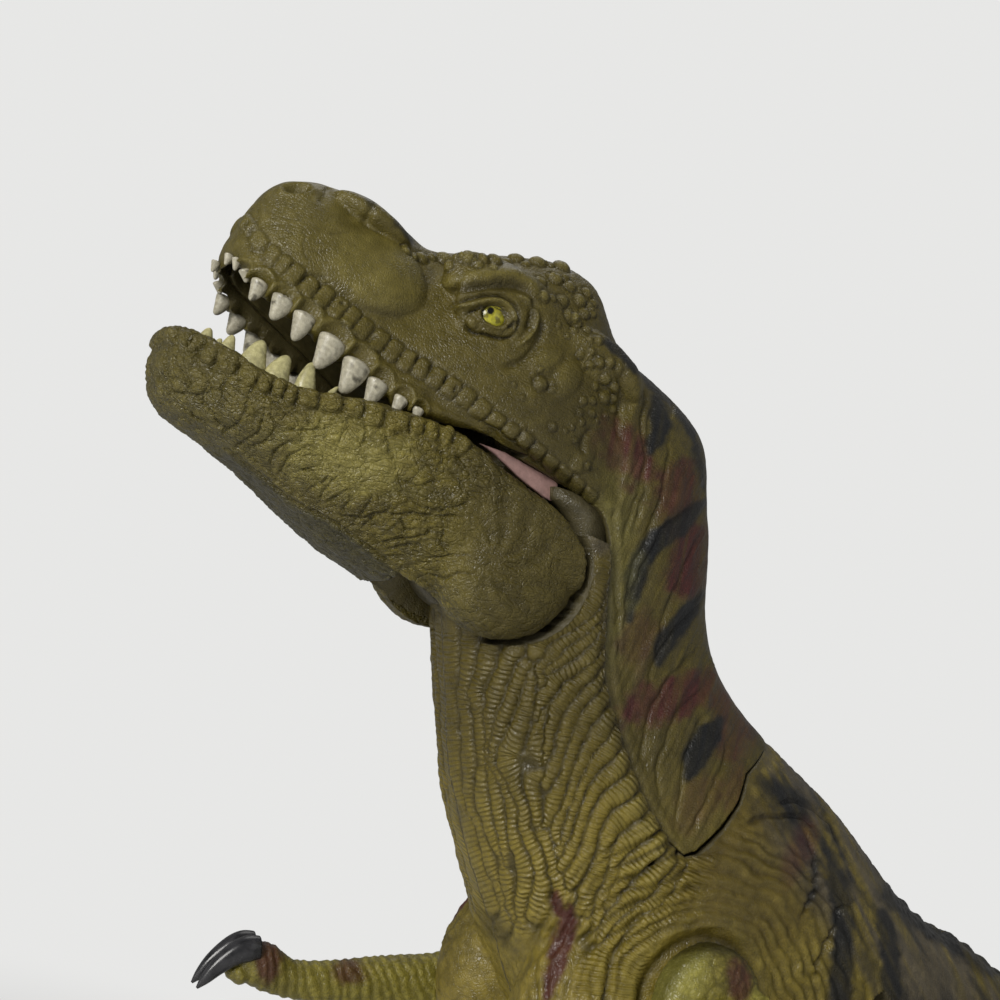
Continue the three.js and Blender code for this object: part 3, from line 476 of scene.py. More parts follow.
HEAD = listed("""
    -.25,.78,.235,.78,.42,2.3 -.19,.845,.275,.88,.44,2.4 -.11,.895,.297,.955,.44,2.5 0,.965,.307,1,.4,2.6
    .11,1,.304,.99,.34,2.8 .22,.97,.287,.955,.3,2.8 .32,.905,.27,.91,.3,2.7 .4,.85,.262,.865,.34,2.5
    .47,.79,.264,.81,.4,2.4 .54,.76,.276,.76,.44,2.4 .63,.775,.294,.71,.44,2.5 .72,.785,.306,.67,.42,2.6
    .8,.765,.316,.62,.36,2.6 .865,.74,.324,.555,.33,2.5 .912,.705,.333,.43,.32,2.4 .942,.665,.347,.33,.3,2.4
    .962,.61,.375,.22,.3,2.3 .971,.55,.405,.13,.3,2.2""")
HEAD_LUMPS = listed("""
    .71,.705,.22,.12,.045,.22 .27,.71,.5,.25,.13,.26 .04,.72,.62,.15,.1,.2 .34,.64,.66,.13,.12,.14""")
JAW = listed("""
    -.195,.15,-.15,.93,-.02,2.2 -.175,.42,-.4,.975,-.02,2.2 -.12,.64,-.64,.99,-.02,2.3
    -.05,.81,-.815,1,-.02,2.4 .04,.88,-.84,1,-.03,2.5 .12,.95,-.77,.985,-.04,2.5 .21,1.02,-.7,.955,-.06,2.6
    .3,1.055,-.625,.905,-.08,2.6 .4,1.035,-.545,.85,-.12,2.6 .5,.98,-.4,.795,-.16,2.6
    .59,.88,-.23,.75,-.18,2.6 .68,.8,-.09,.71,-.2,2.6 .77,.8,0,.665,-.2,2.6 .85,.87,.075,.6,-.2,2.5
    .92,.94,.14,.51,-.2,2.4 .97,.975,.28,.38,-.2,2.3 1,.96,.55,.2,-.2,2.2""")
TRUNK = listed("""
    .197,.355,-.03,-.04,.665,.2,2.2 .23,.262,-.012,-.085,.685,.22,2.2 .257,.165,.004,-.125,.69,.24,2.2
    .276,.075,.017,-.175,.695,.26,2.2 .306,.008,.034,-.235,.71,.29,2.2 .355,-.05,.06,-.315,.75,.32,2.2
    .433,-.102,.092,-.395,.82,.36,2.2 .528,-.16,.14,-.485,.91,.4,2.3 .62,-.237,.2,-.6,.98,.42,2.3
    .704,-.288,.29,-.745,.97,.42,2.3 .775,-.305,.42,-.88,.88,.4,2.4 .85,-.335,.585,-.985,.8,.36,2.5
    .92,-.37,.77,-1,.74,.3,2.4 .97,-.398,.87,-.9,.66,.24,2.3 1,-.425,.915,-.8,.59,.2,2.2""")
NECK = [[0.045, 0.440, -0.100, 0.140, 0.60, 0.30, 2.3], [0.116, 0.410, -0.065, 0.060, 0.65, 0.24, 2.2],
        *TRUNK[:9]]
SHELL = listed("""
    .2,.34 .238,.155 .276,-.065 .322,-.32 .362,-.43 .425,-.58 .535,-.81 .632,-.955 .682,-.99 .718,-.955
    .785,-.81 .838,-.66 .868,-.5 .985,-.3 .99,.1 .9,1.7 .2,1.9""")
SHELL_OUTLINE = [(x * SHELL_REACH, z * SHELL_DROP) for x, z in SHELL]
SCREWS = [(0.17, -0.20), (0.30, -0.68), (0.50, -0.30), (0.60, -0.82), (0.81, -0.85)]
ARM = listed("""
    -.01,0,1.1,0 .06,.28,1,.3 .14,.5,.86,.7 .25,.64,.72,1 .4,.71,.62,1 .56,.8,.53,.8 .71,.86,.45,.6
    .8,.82,.54,.5 .87,.77,.4,.4""")
LEG = listed("""
    .1,-.27,.17,.42,-.1 .07,-.19,.36,.74,-.05 .03,-.06,.5,.95,0 -.02,.09,.52,1,.02 -.09,.24,.44,.92,.04
    -.17,.38,.32,.78,.05 -.2,.48,.25,.68,.05 -.12,.575,.205,.62,.04 .03,.665,.17,.56,.03 .15,.745,.15,.52,.02
    .16,.83,.14,.52,.02 .07,.91,.15,.58,.02""")
TOES = [[0.34, -0.50, -0.72], [0.34, -0.64, 0.05], [0.34, -0.46, 0.80]]
TAIL = listed("""
    0,0,.99,.99 .06,0,.93,.93 .14,.02,.82,.82 .24,.1,.68,.68 .36,.27,.55,.54 .49,.6,.44,.42 .62,1.05,.34,.32
    .75,1.6,.25,.23 .87,2.2,.17,.155 .95,2.62,.11,.1 1,2.88,.045,.045""")


def on_head(ahead, up):
    c, s = math.cos(HEAD_TILT), math.sin(HEAD_TILT)
    ahead, up = np.asarray(ahead, float), np.asarray(up, float)
    return np.stack([-ahead * c + up * s, np.zeros_like(ahead + up), ahead * s + up * c], -1)


# How much lower the soft lip hangs than the solid's edge, by share of the head's length.
LIP = listed("""
    -.25,0 -.11,0 0,.1 .11,.2 .22,.2 .32,1.1 .4,1.9 .47,2.7 .54,2.7 .63,2.3 .72,2.4 .8,1.9 .865,1.7 .912,.8
    .942,.3 .971,.4""")
# How much higher the knobbly crest stands than the solid's top.
CREST = listed("""
    -.25,-1.5 -.19,-2 -.11,-2.2 0,-1.6 .06,-.4 .11,.5 .22,1.1 .32,1.2 .4,.9 .47,1 .54,.2 .63,0 .72,-.8 .8,-.8
    .912,-.9 .971,-.3""")


def head_rings(count=96, steps=6):
    r = between(HEAD, steps)
    hang = np.interp(r[:, 0], *np.array(LIP).T)
    low = on_head(r[:, 0] * HEAD_LENGTH, r[:, 2] * HEAD_HEIGHT - hang)
    high = on_head(r[:, 0] * HEAD_LENGTH, r[:, 1] * HEAD_HEIGHT + np.interp(r[:, 0], *np.array(CREST).T))
    return ring(low, high, r[:, 3] * HEAD_HALF, r[:, 4], r[:, 5], count, 0.16, 6)


def head_trough(inset, low, high, start, end, count=64):
    r = between([row for row in HEAD if start < row[0] < end], 4)
    bottom = on_head(r[:, 0] * HEAD_LENGTH, r[:, 2] * HEAD_HEIGHT + low)
    top = on_head(r[:, 0] * HEAD_LENGTH, r[:, 2] * HEAD_HEIGHT + high)
    return lofted(ring(bottom, top, r[:, 3] * HEAD_HALF - inset, 0, 6, count))


def jaw_rings(rows, inset, floor, rise, count=96, steps=6):
    r = between(rows, steps)
    none = np.zeros(len(r))
    lift = 1.1 * smooth(0.12, 0.3, r[:, 0]) if rise == 0 else 0
    low = np.stack([-r[:, 0] * JAW_LENGTH, none, r[:, 2] * JAW_DEPTH + floor], 1)
    high = np.stack([-r[:, 0] * JAW_LENGTH, none, r[:, 1] * JAW_DEPTH + rise + lift], 1)
    width = r[:, 3] * JAW_HALF - inset
    if rise > 0:
        return ring(low, high, width, 0, 6, count)
    return ring(low, high, width, r[:, 4], 6, count, 0.8, r[:, 5])


def trunk_skin(rows, side, back_top, back_low, front, count=96, steps=6):
    r = between(rows, steps)
    share = np.minimum(np.arange(len(r)) / (steps * min(len(rows) - 1, 6)), 1)
    none = np.zeros(len(r))
    back = np.stack([r[:, 0] * TRUNK_LENGTH, none, r[:, 1] * TRUNK_DROP], 1)
    chest = np.stack([r[:, 2] * TRUNK_LENGTH, none, r[:, 3] * TRUNK_DROP], 1)
    inward = (chest - back) / np.linalg.norm(chest - back, axis=1)[:, None]
    back = back + inward * (back_top + (back_low - back_top) * share)[:, None]
    chest = chest - inward * front
    return lofted(ring(chest, back, r[:, 4] * TRUNK_HALF - side, r[:, 5], r[:, 6], count))


def limb(rows, count=32, fullness=2.2, steps=6):
    """A limb along a path: rows of x, z, y, half thickness and half width."""
    r = between(rows, steps)
    middle = np.stack([r[:, 0], r[:, 2], r[:, 1]], 1)
    way = np.gradient(middle, axis=0)
    way /= np.linalg.norm(way[:, [0, 2]], axis=1)[:, None] + 1e-9
    across = np.stack([-way[:, 2], np.zeros(len(r)), way[:, 0]], 1) * r[:, 3:4]
    return lofted(ring(middle - across, middle + across, r[:, 4], 0, fullness, count))


def grown(outline, distance):
    n = len(outline)
    area = sum(x * outline[(i + 1) % n][1] - outline[(i + 1) % n][0] * z for i, (x, z) in enumerate(outline))
    out = []
    for i, (x, z) in enumerate(outline):
        (px, pz), (nx, nz) = outline[i - 1], outline[(i + 1) % n]
        a = np.array([x - px, z - pz]) / math.hypot(x - px, z - pz)
        b = np.array([nx - x, nz - z]) / math.hypot(nx - x, nz - z)
        o = np.array([a[1] + b[1], -a[0] - b[0]])
        o /= np.linalg.norm(o)
        reach = distance / max(math.sqrt((1 + a @ b) / 2), 0.5)
        sign = 1 if area > 0 else -1
        out.append((x + sign * reach * o[0], z + sign * reach * o[1]))
    return out


def across(outline):
    return slab(outline, -WIDE, WIDE)


def besides(make):
    """A cutter for the right side and its mirror for the left."""
    one = make()
    return [one, mirrored(one)]


# Reliefs
def leather(p, size, depth, seed):
    """Crackled leather: swollen cells with thin grooves between them."""
    warped = p + 0.35 * size * np.stack([noise(p, size * 1.5, seed + 20 + k) for k in range(3)], 1)
    near, second, own = cells(warped, size, seed)
    gap = second - near
    groove = 1 - smooth(0.02, 0.22, gap)
    return depth * (smooth(0, 0.5, gap) - 1) + depth * 0.35 * (own - 0.5), groove


def facing(p, n, low=0.02, high=0.3):
    """How far a point of the folded animal faces the camera, from 0 to 1."""
    q, m = p.copy(), n.copy()
    m[:, 1] *= np.where(q[:, 1] > 0, -1, 1)
    q[:, 1] = -np.abs(q[:, 1])
    ray = EYE - q
    ray /= np.linalg.norm(ray, axis=1)[:, None]
    return smooth(low, high, np.einsum("ij,ij->i", m, ray))


class Relief:
    """Height in millimetres, and how deep in a groove, at each point of a skin."""

    def __init__(self, p, n):
        self.p, self.n, self.uv = p, n, photo(p)
        self.height, self.groove = np.zeros(len(p)), np.zeros(len(p))
        self.fade = facing(p, n)
        self.folded = np.column_stack([p[:, 0], -np.abs(p[:, 1]), p[:, 2]])

    # what darken gathers is painted into the skin's colour as shade in hollows, creases and gaps
    def darken(self, groove):
        self.groove = np.maximum(self.groove, groove)

    def near(self, points, reach):
        points = np.array(points, float)
        low, high = points.min(0) - reach, points.max(0) + reach
        return np.nonzero(((self.uv > low) & (self.uv < high)).all(1) & (self.fade > 0))[0]

    def lines(self, lines, width, depth, dark=0.8, wander=0.0, ends=0.2, seed=1):
        """Grooves along drawn lines, or ridges where the depth is negative."""
        cutting = np.zeros(len(self.p))
        for line in lines:
            points = between(line) if len(line) > 2 else np.array(line, float)
            i = self.near(points, 4 * width + wander)
            if not len(i):
                continue
            uv = self.uv[i]
            if wander:
                uv = uv + wander * np.stack([noise(flat3(uv), 12, seed), noise(flat3(uv), 12, seed + 3)], 1)
            d, reach, _ = along(uv, points)
            total = max(reach.max(), 1e-6)
            taper = smooth(-0.02, ends, reach / total) * smooth(-0.02, ends, 1 - reach / total) if ends else 1
            cutting[i] = np.maximum(cutting[i], np.exp(-(d / width) ** 2) * taper)
        self.height -= depth * cutting * self.fade
        if depth > 0:
            self.darken(dark * cutting * self.fade)
        return self

    def plates(self, line, height, edge=0.5, dark=0.8):
        """A row of squarish scales: x, y and half the width of the row at each of them."""
        line = np.array(line, float)
        for i, (x, y, wide) in enumerate(line):
            way = line[min(i + 1, len(line) - 1), :2] - line[max(i - 1, 0), :2]
            steps = [np.linalg.norm(line[j, :2] - (x, y)) for j in (i - 1, i + 1) if 0 <= j < len(line)]
            turn = math.degrees(math.atan2(way[1], way[0]))
            self.mounds([(x, y, 0.47 * np.mean(steps), wide, turn)], height, edge, dark, 0.75, 4)
        return self

    def mounds(self, mounds, height, edge=0.25, dark=0.4, power=0.7, square=2):
        """Oval mounds in the picture: x, y, half length, half width, turn in degrees."""
        for x, y, a, b, turn in mounds:
            i = self.near([(x, y)], 1.6 * max(a, b))
            ahead, beside = oval(self.uv[i], x, y, a, b, turn)
            r = (np.abs(ahead) ** square + np.abs(beside) ** square) ** (1 / square)
            rise = np.clip(1 - r ** square, 0, 1) ** power
            ring = np.exp(-((r - 1.08) / 0.13) ** 2)
            self.height[i] += (height * rise - height * edge * ring) * self.fade[i]
            self.groove[i] = np.maximum(self.groove[i] * (1 - rise), dark * ring * self.fade[i])
        return self

    def knobs(self, knobs, height, edge=0.25, dark=0.5):
        """Round knobs on the surface: place and radius in millimetres, the same on both sides."""
        for place, radius in knobs:
            place = place * np.array([1, -1 if place[1] > 0 else 1, 1])
            offset = self.folded - place
            i = np.nonzero((np.abs(offset) < 1.6 * radius).all(1))[0]
            r = np.linalg.norm(offset[i], axis=1) / radius
            rise = np.clip(1 - r * r, 0, 1) ** 0.7
            ring = np.exp(-((r - 1.1) / 0.16) ** 2)
            self.height[i] += height * radius * (rise - edge * ring)
            self.groove[i] = np.maximum(self.groove[i] * (1 - rise), dark * ring)
        return self

    def result(self, **extra):
        return self.height, {"groove": np.clip(self.groove, 0, 1), **extra}


def tree_of(obj):
    return BVHTree.FromPolygons(points_of(obj).tolist(), [tuple(f.vertices) for f in obj.data.polygons])


def seen_at(tree, u, v, y=-6.0):
    """The place on a surface that a pixel shows, or the nearest to the line of sight."""
    way = sight(u, v)
    place, normal, _, _ = tree.ray_cast(Vector(EYE), Vector(way))
    if place is None:
        place, normal, _, _ = tree.find_nearest(Vector(at(u, v, y)))
    return np.array(place), np.array(normal)


# Details of the head, read off two enlarged views of it.
TEETH_SOCKETS = seen_in(SNOUT_VIEW, listed("""
    335,620,50 425,690,70 545,775,82 660,860,84 805,985,100 930,1105,100 1040,1205,78 1165,1290,62
    1255,1345,48"""))
LIP_ROW = listed("""
    247,224,8 259,241,9 272,255,10 284,264,10 295,274,11 310,286,11 325,296,11 339,307,11 352,317,11
    364,328,11 380,340,11 394,350,11 408,360,11 422,368,10 437,377,10 452,387,10 467,397,10 482,409,10
    497,421,9 512,431,9 526,441,9 538,452,9 551,463,8 564,474,8 577,485,8 590,495,7""")
SNOUT_GROOVES = drawn("""
    630,700 655,665 690,645 720,665 745,695 805,690; 690,650 740,655 770,680; 745,730 735,700 745,665; 840,790
    860,820; 1225,1110 1260,1065; 1300,1150 1330,1100; 1375,1215 1400,1180; 1430,1270 1450,1225; 330,430
    365,375; 345,450 395,400; 985,1010 1030,965; 590,1010 600,1000""", SNOUT_VIEW)
SNOUT_CREASES = drawn("""
    440,360 520,350 600,365 650,350; 430,385 520,390 610,385; 400,250 410,330 395,400; 445,235 455,300
    450,350; 500,240 510,290 530,345; 540,250 560,300; 590,260 600,320 640,360; 640,420 660,450 640,500;
    560,400 580,430 620,440; 250,420 265,470 270,520; 290,400 300,460; 760,440 830,440 900,430; 680,520
    730,540 790,530; 860,300 900,340 960,360; 930,340 980,400 1060,440; 500,470 560,450 600,455; 660,480
    650,540 690,590""", SNOUT_VIEW)
EYE_GROOVES = drawn("""
    290,542 340,505 400,480 470,463 530,452 600,457 670,490 708,540 716,600 700,660 690,700; 385,592 402,568
    450,545 490,527 560,516 620,538 655,580 660,612; 390,600 402,650 440,682 500,690 560,706 620,716 670,706
    700,678; 640,640 672,640 690,600""", EYE_VIEW)
BROW_SHADOW = drawn("""
    320,428 400,415 480,404 560,395 640,392 720,405 775,440 795,480""", EYE_VIEW)
EYE_CRESCENT = drawn("""
    792,470 800,540 786,620 760,680; 855,560 858,640 835,720 790,790 730,850 650,880 590,882""", EYE_VIEW)
EYE_RIDGES = drawn("""
    300,560 360,520 420,512 500,490 580,484 650,515 688,580 684,650 640,690; 700,440 770,490 818,560 818,620
    785,690 740,740 680,775""", EYE_VIEW)
BROW_RIDGE = drawn("""
    170,430 250,395 340,370 450,342 560,322 680,330 765,372 830,440 838,520""", EYE_VIEW)
TUBERCLES = seen_in(EYE_VIEW, listed("""
    30,185,38 85,222,30 135,228,42 200,222,34 268,228,58 290,275,36 350,220,34 412,222,52 470,262,34
    505,225,40 572,232,50 560,285,28 640,248,38 700,230,56 760,262,34 832,252,60 905,268,34 975,278,62
    850,372,42 945,350,46 905,330,26 1025,395,42 1000,345,30 868,462,38 925,470,28 985,482,42 1088,482,46
    1130,436,40 1030,580,52 1060,605,46 1118,560,40 955,630,24 1050,660,26 1130,655,32 1165,560,32 1170,500,32
    1200,720,34 1150,720,24 1160,790,24 1090,810,28 1205,860,38 1270,860,36 1150,875,28 1110,880,22
    1240,962,38 1300,1015,38 1178,1000,30 1235,1068,44 1290,1080,30 1108,1088,30 1165,1090,28 1240,1178,28
    1088,1158,26 1160,1165,28 1285,1140,30 1190,1210,20 925,1245,30 1100,1220,26 745,1250,24 1040,1250,22
    1060,1330,22 1130,1490,30 1000,1270,20 740,1070,20 850,985,46 920,1020,26 840,905,20 1010,700,20
    1150,520,30 690,990,18 800,940,18 610,920,16"""))
CHEEK_SWELLINGS = listed("880,850,125,90,-35 1010,960,90,130,20 430,622,46,40,20 1110,1440,110,60,-60")
EAR_GROOVES = drawn("""
    1320,1085 1335,1180 1318,1260 1330,1340; 1180,1240 1125,1290 1100,1360 1110,1430; 1290,850 1310,930
    1335,1010 1340,1090; 1460,1000 1475,1090 1462,1200 1470,1320""", EYE_VIEW)
NAPE_ROLL = drawn("""
    1300,830 1370,900 1420,980 1430,1080 1400,1180""", EYE_VIEW)
MOUTH_EDGE = drawn("""
    370,1232 470,1275 600,1345 740,1430 880,1515 1000,1590""", EYE_VIEW)
CHEEK_HOLLOW = drawn("""
    130,1000 230,1080 330,1150 430,1210 520,1262 640,1330""", EYE_VIEW)

# In the photograph's own pixels: the middle, half length, half width and turn of ovals.
SNOUT_SWELLING = (372, 270, 62, 38, 35)
NOSTRIL = (297, 189.5, 14, 5, 0)
EYE_PIXEL, EYE_TURN, PUPIL = (494.4, 316.6), 27, (490.6, 310.6)
SNOUT_FOLDS = drawn("331,182 326,193 319,204; 376,204 369,214 364,226")
CALM_CHEEK, HINGE = (515, 565), (490, 559)
SHOULDER_MUSCLE, SHOULDER_SWIRL = (757, 882, 64, 72, 20), (698, 1000)

# Details of the nape shell and of the jaw.
CAPE_GROOVES = drawn("""
    180,80 170,190 160,300; 235,180 245,400 225,510 200,600; 270,170 255,300 240,400 205,520 170,640; 320,260
    305,380 290,480 245,600 200,700 180,900; 400,480 350,520 300,560 250,640 220,700 190,830; 410,560 380,630
    350,700 320,760 290,830 270,980; 410,760 380,800 330,850 300,900 270,950 245,1040; 400,880 370,930 340,970
    290,1030 250,1100 230,1250; 420,1000 370,1060 330,1100 300,1180 280,1250 290,1370; 440,1080 400,1110
    380,1150 360,1220 350,1280 330,1440; 480,1150 470,1220 440,1300 400,1380 360,1460; 360,60 330,160 320,260;
    440,300 430,400 400,480; 150,700 165,820 160,960""", CAPE_VIEW)
CAPE_FRONT = drawn("150,520 160,800 140,960 180,1170 250,1350 330,1490", CAPE_VIEW)
CAPE_RIDGES = drawn("""
    400,900 430,960 430,1010 410,1090 440,1130 470,1150 460,1210; 205,80 205,250 190,420 160,560; 360,420
    310,520 240,640 200,760; 390,700 330,800 260,900 215,1010; 410,930 340,1040 270,1170
    260,1300""", CAPE_VIEW)
RIM_CREASES = drawn("""
    240,135 236,200 222,265; 305,150 302,200 288,255; 345,195 330,250 303,305; 420,228 405,270 390,315;
    515,265 508,300 495,330; 602,325 585,370 558,425; 665,345 660,385 648,425; 722,372 715,405 700,445;
    777,398 772,435 762,475; 872,415 870,455 858,505; 975,428 980,465 978,505; 1070,458 1066,485 1058,515;
    1155,488 1160,525 1158,565; 1265,528 1272,560 1270,595; 1330,535 1335,570; 1395,558 1395,590 1388,625;
    1455,580 1460,620 1450,660; 185,130 180,190 190,250""", JAW_VIEW)
RIM_SCALLOPS = listed("""
    205,125,32,24,0 272,142,34,26,20 330,165,30,26,30 385,212,36,28,35 470,250,48,30,30 560,300,46,30,35
    635,340,34,26,20 695,358,30,26,20 750,385,28,26,20 825,400,50,30,5 925,415,52,32,5 1022,445,46,30,10
    1112,475,44,32,15 1212,505,54,32,10 1300,520,34,28,10 1362,545,32,28,15 1425,565,30,28,30
    1490,610,36,28,40""")
JAW_CREASES = drawn("""
    160,200 200,340 230,400 330,425 400,490 460,505; 180,430 250,405 330,415 420,390 520,440; 500,655 560,600
    600,560 640,460; 550,665 600,630 650,590 700,520; 640,725 680,665 700,640 760,600; 690,780 705,730 740,690
    790,640 850,640; 760,760 830,740 860,800 800,850; 800,860 840,820 880,790 905,750; 870,900 880,850 910,800
    960,770; 700,570 800,575 860,565 940,545; 1180,820 1280,880 1340,905 1400,920 1440,900 1560,880; 900,930
    1050,950 1170,930 1300,930 1420,935 1560,930; 1050,1020 1100,960 1160,920 1190,870; 1100,1065 1200,1050
    1330,1030 1345,970; 950,950 990,900 1030,870; 1010,1000 1040,940 1090,890 1110,840; 1150,1100 1230,1080
    1320,1070; 900,900 960,840 1010,820; 300,260 380,350 395,440; 390,320 360,400 345,480; 560,430 540,500
    500,560 440,600; 480,330 450,400 470,470; 640,430 700,470 720,540; 760,480 820,510 830,560; 400,500
    440,560 520,580; 230,280 280,330 300,400; 130,330 190,350 260,340; 290,480 330,520 370,570; 600,470
    660,500 690,570; 860,510 900,560 880,620; 980,510 1000,560 960,600; 1060,520 1080,580 1050,640; 1160,570
    1170,640 1200,700; 1200,760 1260,790 1330,800 1420,790; 1220,940 1250,990 1240,1040; 1400,940 1420,1000
    1400,1060 1440,1120; 1300,1120 1380,1130 1460,1110 1560,1120; 1320,1190 1400,1210 1480,1190 1560,1200;
    1440,740 1490,800 1560,820; 1380,640 1400,700 1380,760; 1450,660 1500,700 1560,690""", JAW_VIEW)
JAW_BEVEL = drawn("""
    395,612 480,665 560,722 660,800 760,882 850,925 940,972 1020,1030 1100,1092 1240,1205""", JAW_VIEW)


def head_relief(p, n):
    r = Relief(p, n)
    uv = r.uv
    r.height += 0.15 * noise(p, 6, 4, 2) + 0.05 * noise(p, 1.6, 3, 2)
    pebble, valley = leather(p, 1.15, 0.1, 8)
    rough = smooth(400, 520, uv[:, 0]) * smooth(560, 300, uv[:, 1]) * 0.5
    r.height += pebble * rough
    r.groove = 0.25 * valley * rough
    # the smooth swelling of the snout, steeper at its rear end
    ahead, beside = oval(uv, *SNOUT_SWELLING)
    swell = np.clip(1 - ahead ** 2 - beside ** 2, 0, 1) ** 0.8
    r.height += 2.3 * swell * (0.62 + 0.38 * np.clip(ahead, -1, 1)) * r.fade
    # grooves run down the nape shell
    r.lines(CAPE_GROOVES, 2.2, 0.4, 0.75, 2.0)
    r.lines(CAPE_RIDGES, 5.0, -0.4, 0, 2.0)
    cape = smooth(600, 625, uv[:, 0]) * smooth(400, 470, uv[:, 1])
    strands = 1 - np.abs(streaks(uv, 118, 50, 5, 24)) * 2.4
    r.height += 0.12 * cape * r.fade * np.clip(strands, -0.5, 1)
    r.darken(0.35 * cape * r.fade * smooth(0.35, -0.4, strands))
    front = along(uv, between(CAPE_FRONT[0]))[0]
    r.height += 0.35 * np.exp(-((front - 5) / 5) ** 2) * r.fade
    # folds round the eye, the brow, the ear and the mouth
    r.mounds(scaled(EYE_VIEW, CHEEK_SWELLINGS), 0.5, 0.1, 0.15, 1.0)
    r.lines(BROW_RIDGE, 7, -0.7, 0)
    r.lines(BROW_SHADOW, 4.0, 0.8, 0.7)
    r.lines(EYE_CRESCENT, 3.6, 0.6, 0.6)
    r.lines(EYE_RIDGES, 2.4, -0.75, 0)
    r.lines(EYE_GROOVES, 1.6, 0.9, 1.0)
    r.lines(EAR_GROOVES, 2.4, 0.45, 0.7)
    r.lines(NAPE_ROLL, 9, -0.6, 0)
    r.lines(CHEEK_HOLLOW, 9, 0.9, 0.25)
    r.lines(MOUTH_EDGE, 2.2, -0.45, 0)
    r.lines(SNOUT_CREASES, 1.3, 0.13, 0.5, 1.5)
    r.lines([[place[:2] for place in LIP_ROW]], 13, 0.25, 0.1)
    r.plates(LIP_ROW, 0.42, 0.4, 0.75)
    r.lines(SNOUT_GROOVES, 1.6, 0.5, 1.0)
    for u, v, size in TEETH_SOCKETS:
        d = np.hypot(uv[:, 0] - u, uv[:, 1] - v) / (size / SNOUT_VIEW[2])
        r.height += 0.5 * np.exp(-((d - 0.95) / 0.2) ** 2) * r.fade
        r.height -= 0.5 * np.exp(-(d / 0.6) ** 2) * r.fade
    nostril = np.hypot(*oval(uv, *NOSTRIL))
    r.height += r.fade * (0.3 * np.exp(-((nostril - 1.15) / 0.3) ** 2) - 0.75 * np.exp(-(nostril / 0.8) ** 4))
    r.lines(SNOUT_FOLDS, 4, 0.5, 0.3)
    r.darken(0.8 * np.exp(-(nostril / 0.8) ** 4) * r.fade)
    r.knobs(HEAD_KNOBS, 0.5, 0.35, 0.75)
    # the opening of the eye, sunk, with painted shade in it
    lid = np.hypot(*oval(uv, *EYE_PIXEL, 13.6, 8.0, EYE_TURN))
    r.height += r.fade * (0.35 * np.exp(-((lid - 1.22) / 0.2) ** 2))
    opening = (1 - smooth(0.86, 1.02, lid)) * r.fade
    r.height = r.height * (1 - opening) - 1.5 * opening
    r.darken(opening)
    return r.result(wrinkle=0.12 + 0.3 * rough)


def scaled(view, mounds):
    """Mounds read off an enlarged view, in the photograph's pixels."""
    x, y, k = view
    return [(x + m[0] / k, y + m[1] / k, m[2] / k, m[3] / k, m[4]) for m in mounds]


def jaw_relief(p, n):
    r = Relief(p, n)
    uv = r.uv
    # leathery skin: creases across the jaw, others that cross them, small pebbles between
    steep = creases(grain_along(p + 0.5 * noise(p, 5, 21)[:, None], 63, 2.6), 1.7, 0.2, 5)
    flat = creases(grain_along(p + 0.5 * noise(p, 5, 22)[:, None], 8, 2.2), 1.5, 0.18, 6)
    where = smooth(-0.5, 0.4, noise(p, 9, 15))
    fine, valley = leather(p, 0.85, 0.07, 6)
    coarse, crack = leather(grain_along(p, 40, 1.5), 2.0, 0.15, 12)
    calm = 1 - 0.75 * smooth(84, 60, np.hypot(*(uv - CALM_CHEEK).T)) * r.fade
    r.height += 0.2 * noise(p, 8, 14, 2)
    r.height += calm * (0.1 * noise(p, 2.4, 16, 2) + fine + coarse - 0.11 * steep - 0.06 * flat * where)
    r.groove = calm * np.clip(0.35 * steep + 0.25 * flat * where + 0.15 * valley + 0.5 * crack, 0, 0.8)
    scallops = [(x, y + 5, a, b + 4, turn) for x, y, a, b, turn in scaled(JAW_VIEW, RIM_SCALLOPS)]
    r.mounds(scallops, 0.5, 0.25, 0.3, 0.8, 3)
    r.lines(RIM_CREASES, 1.4, 0.42, 0.9, 2.0)
    r.lines(JAW_CREASES, 1.2, 0.42, 0.95, 2.5)
    # the bevelled band along the underside
    d, reach, _ = along(uv, between(JAW_BEVEL[0]))
    line_fade = r.fade * smooth(0, 30, reach) * smooth(0, 30, reach.max() - reach)
    r.height -= 0.35 * np.exp(-(d / 1.8) ** 2) * line_fade
    r.height += 0.3 * np.exp(-((d - 4) / 3) ** 2) * line_fade
    r.darken(0.6 * np.exp(-(d / 2) ** 2) * line_fade)
    # wrinkles swirl round the hinge
    du, dv = (uv - HINGE).T
    turn, away = np.arctan2(dv, du), np.hypot(du, dv)
    swirl = np.sin(turn * 11 + away * 0.10 + 2.2 * noise(flat3(uv), 40, 17))
    here = smooth(90, 55, away) * smooth(6, 20, away) * smooth(-40, 10, du) * r.fade
    r.height += 0.13 * swirl * here
    r.darken(0.6 * smooth(-0.4, -1, swirl) * here)
    return r.result(wrinkle=0.35 + 0.65 * calm)


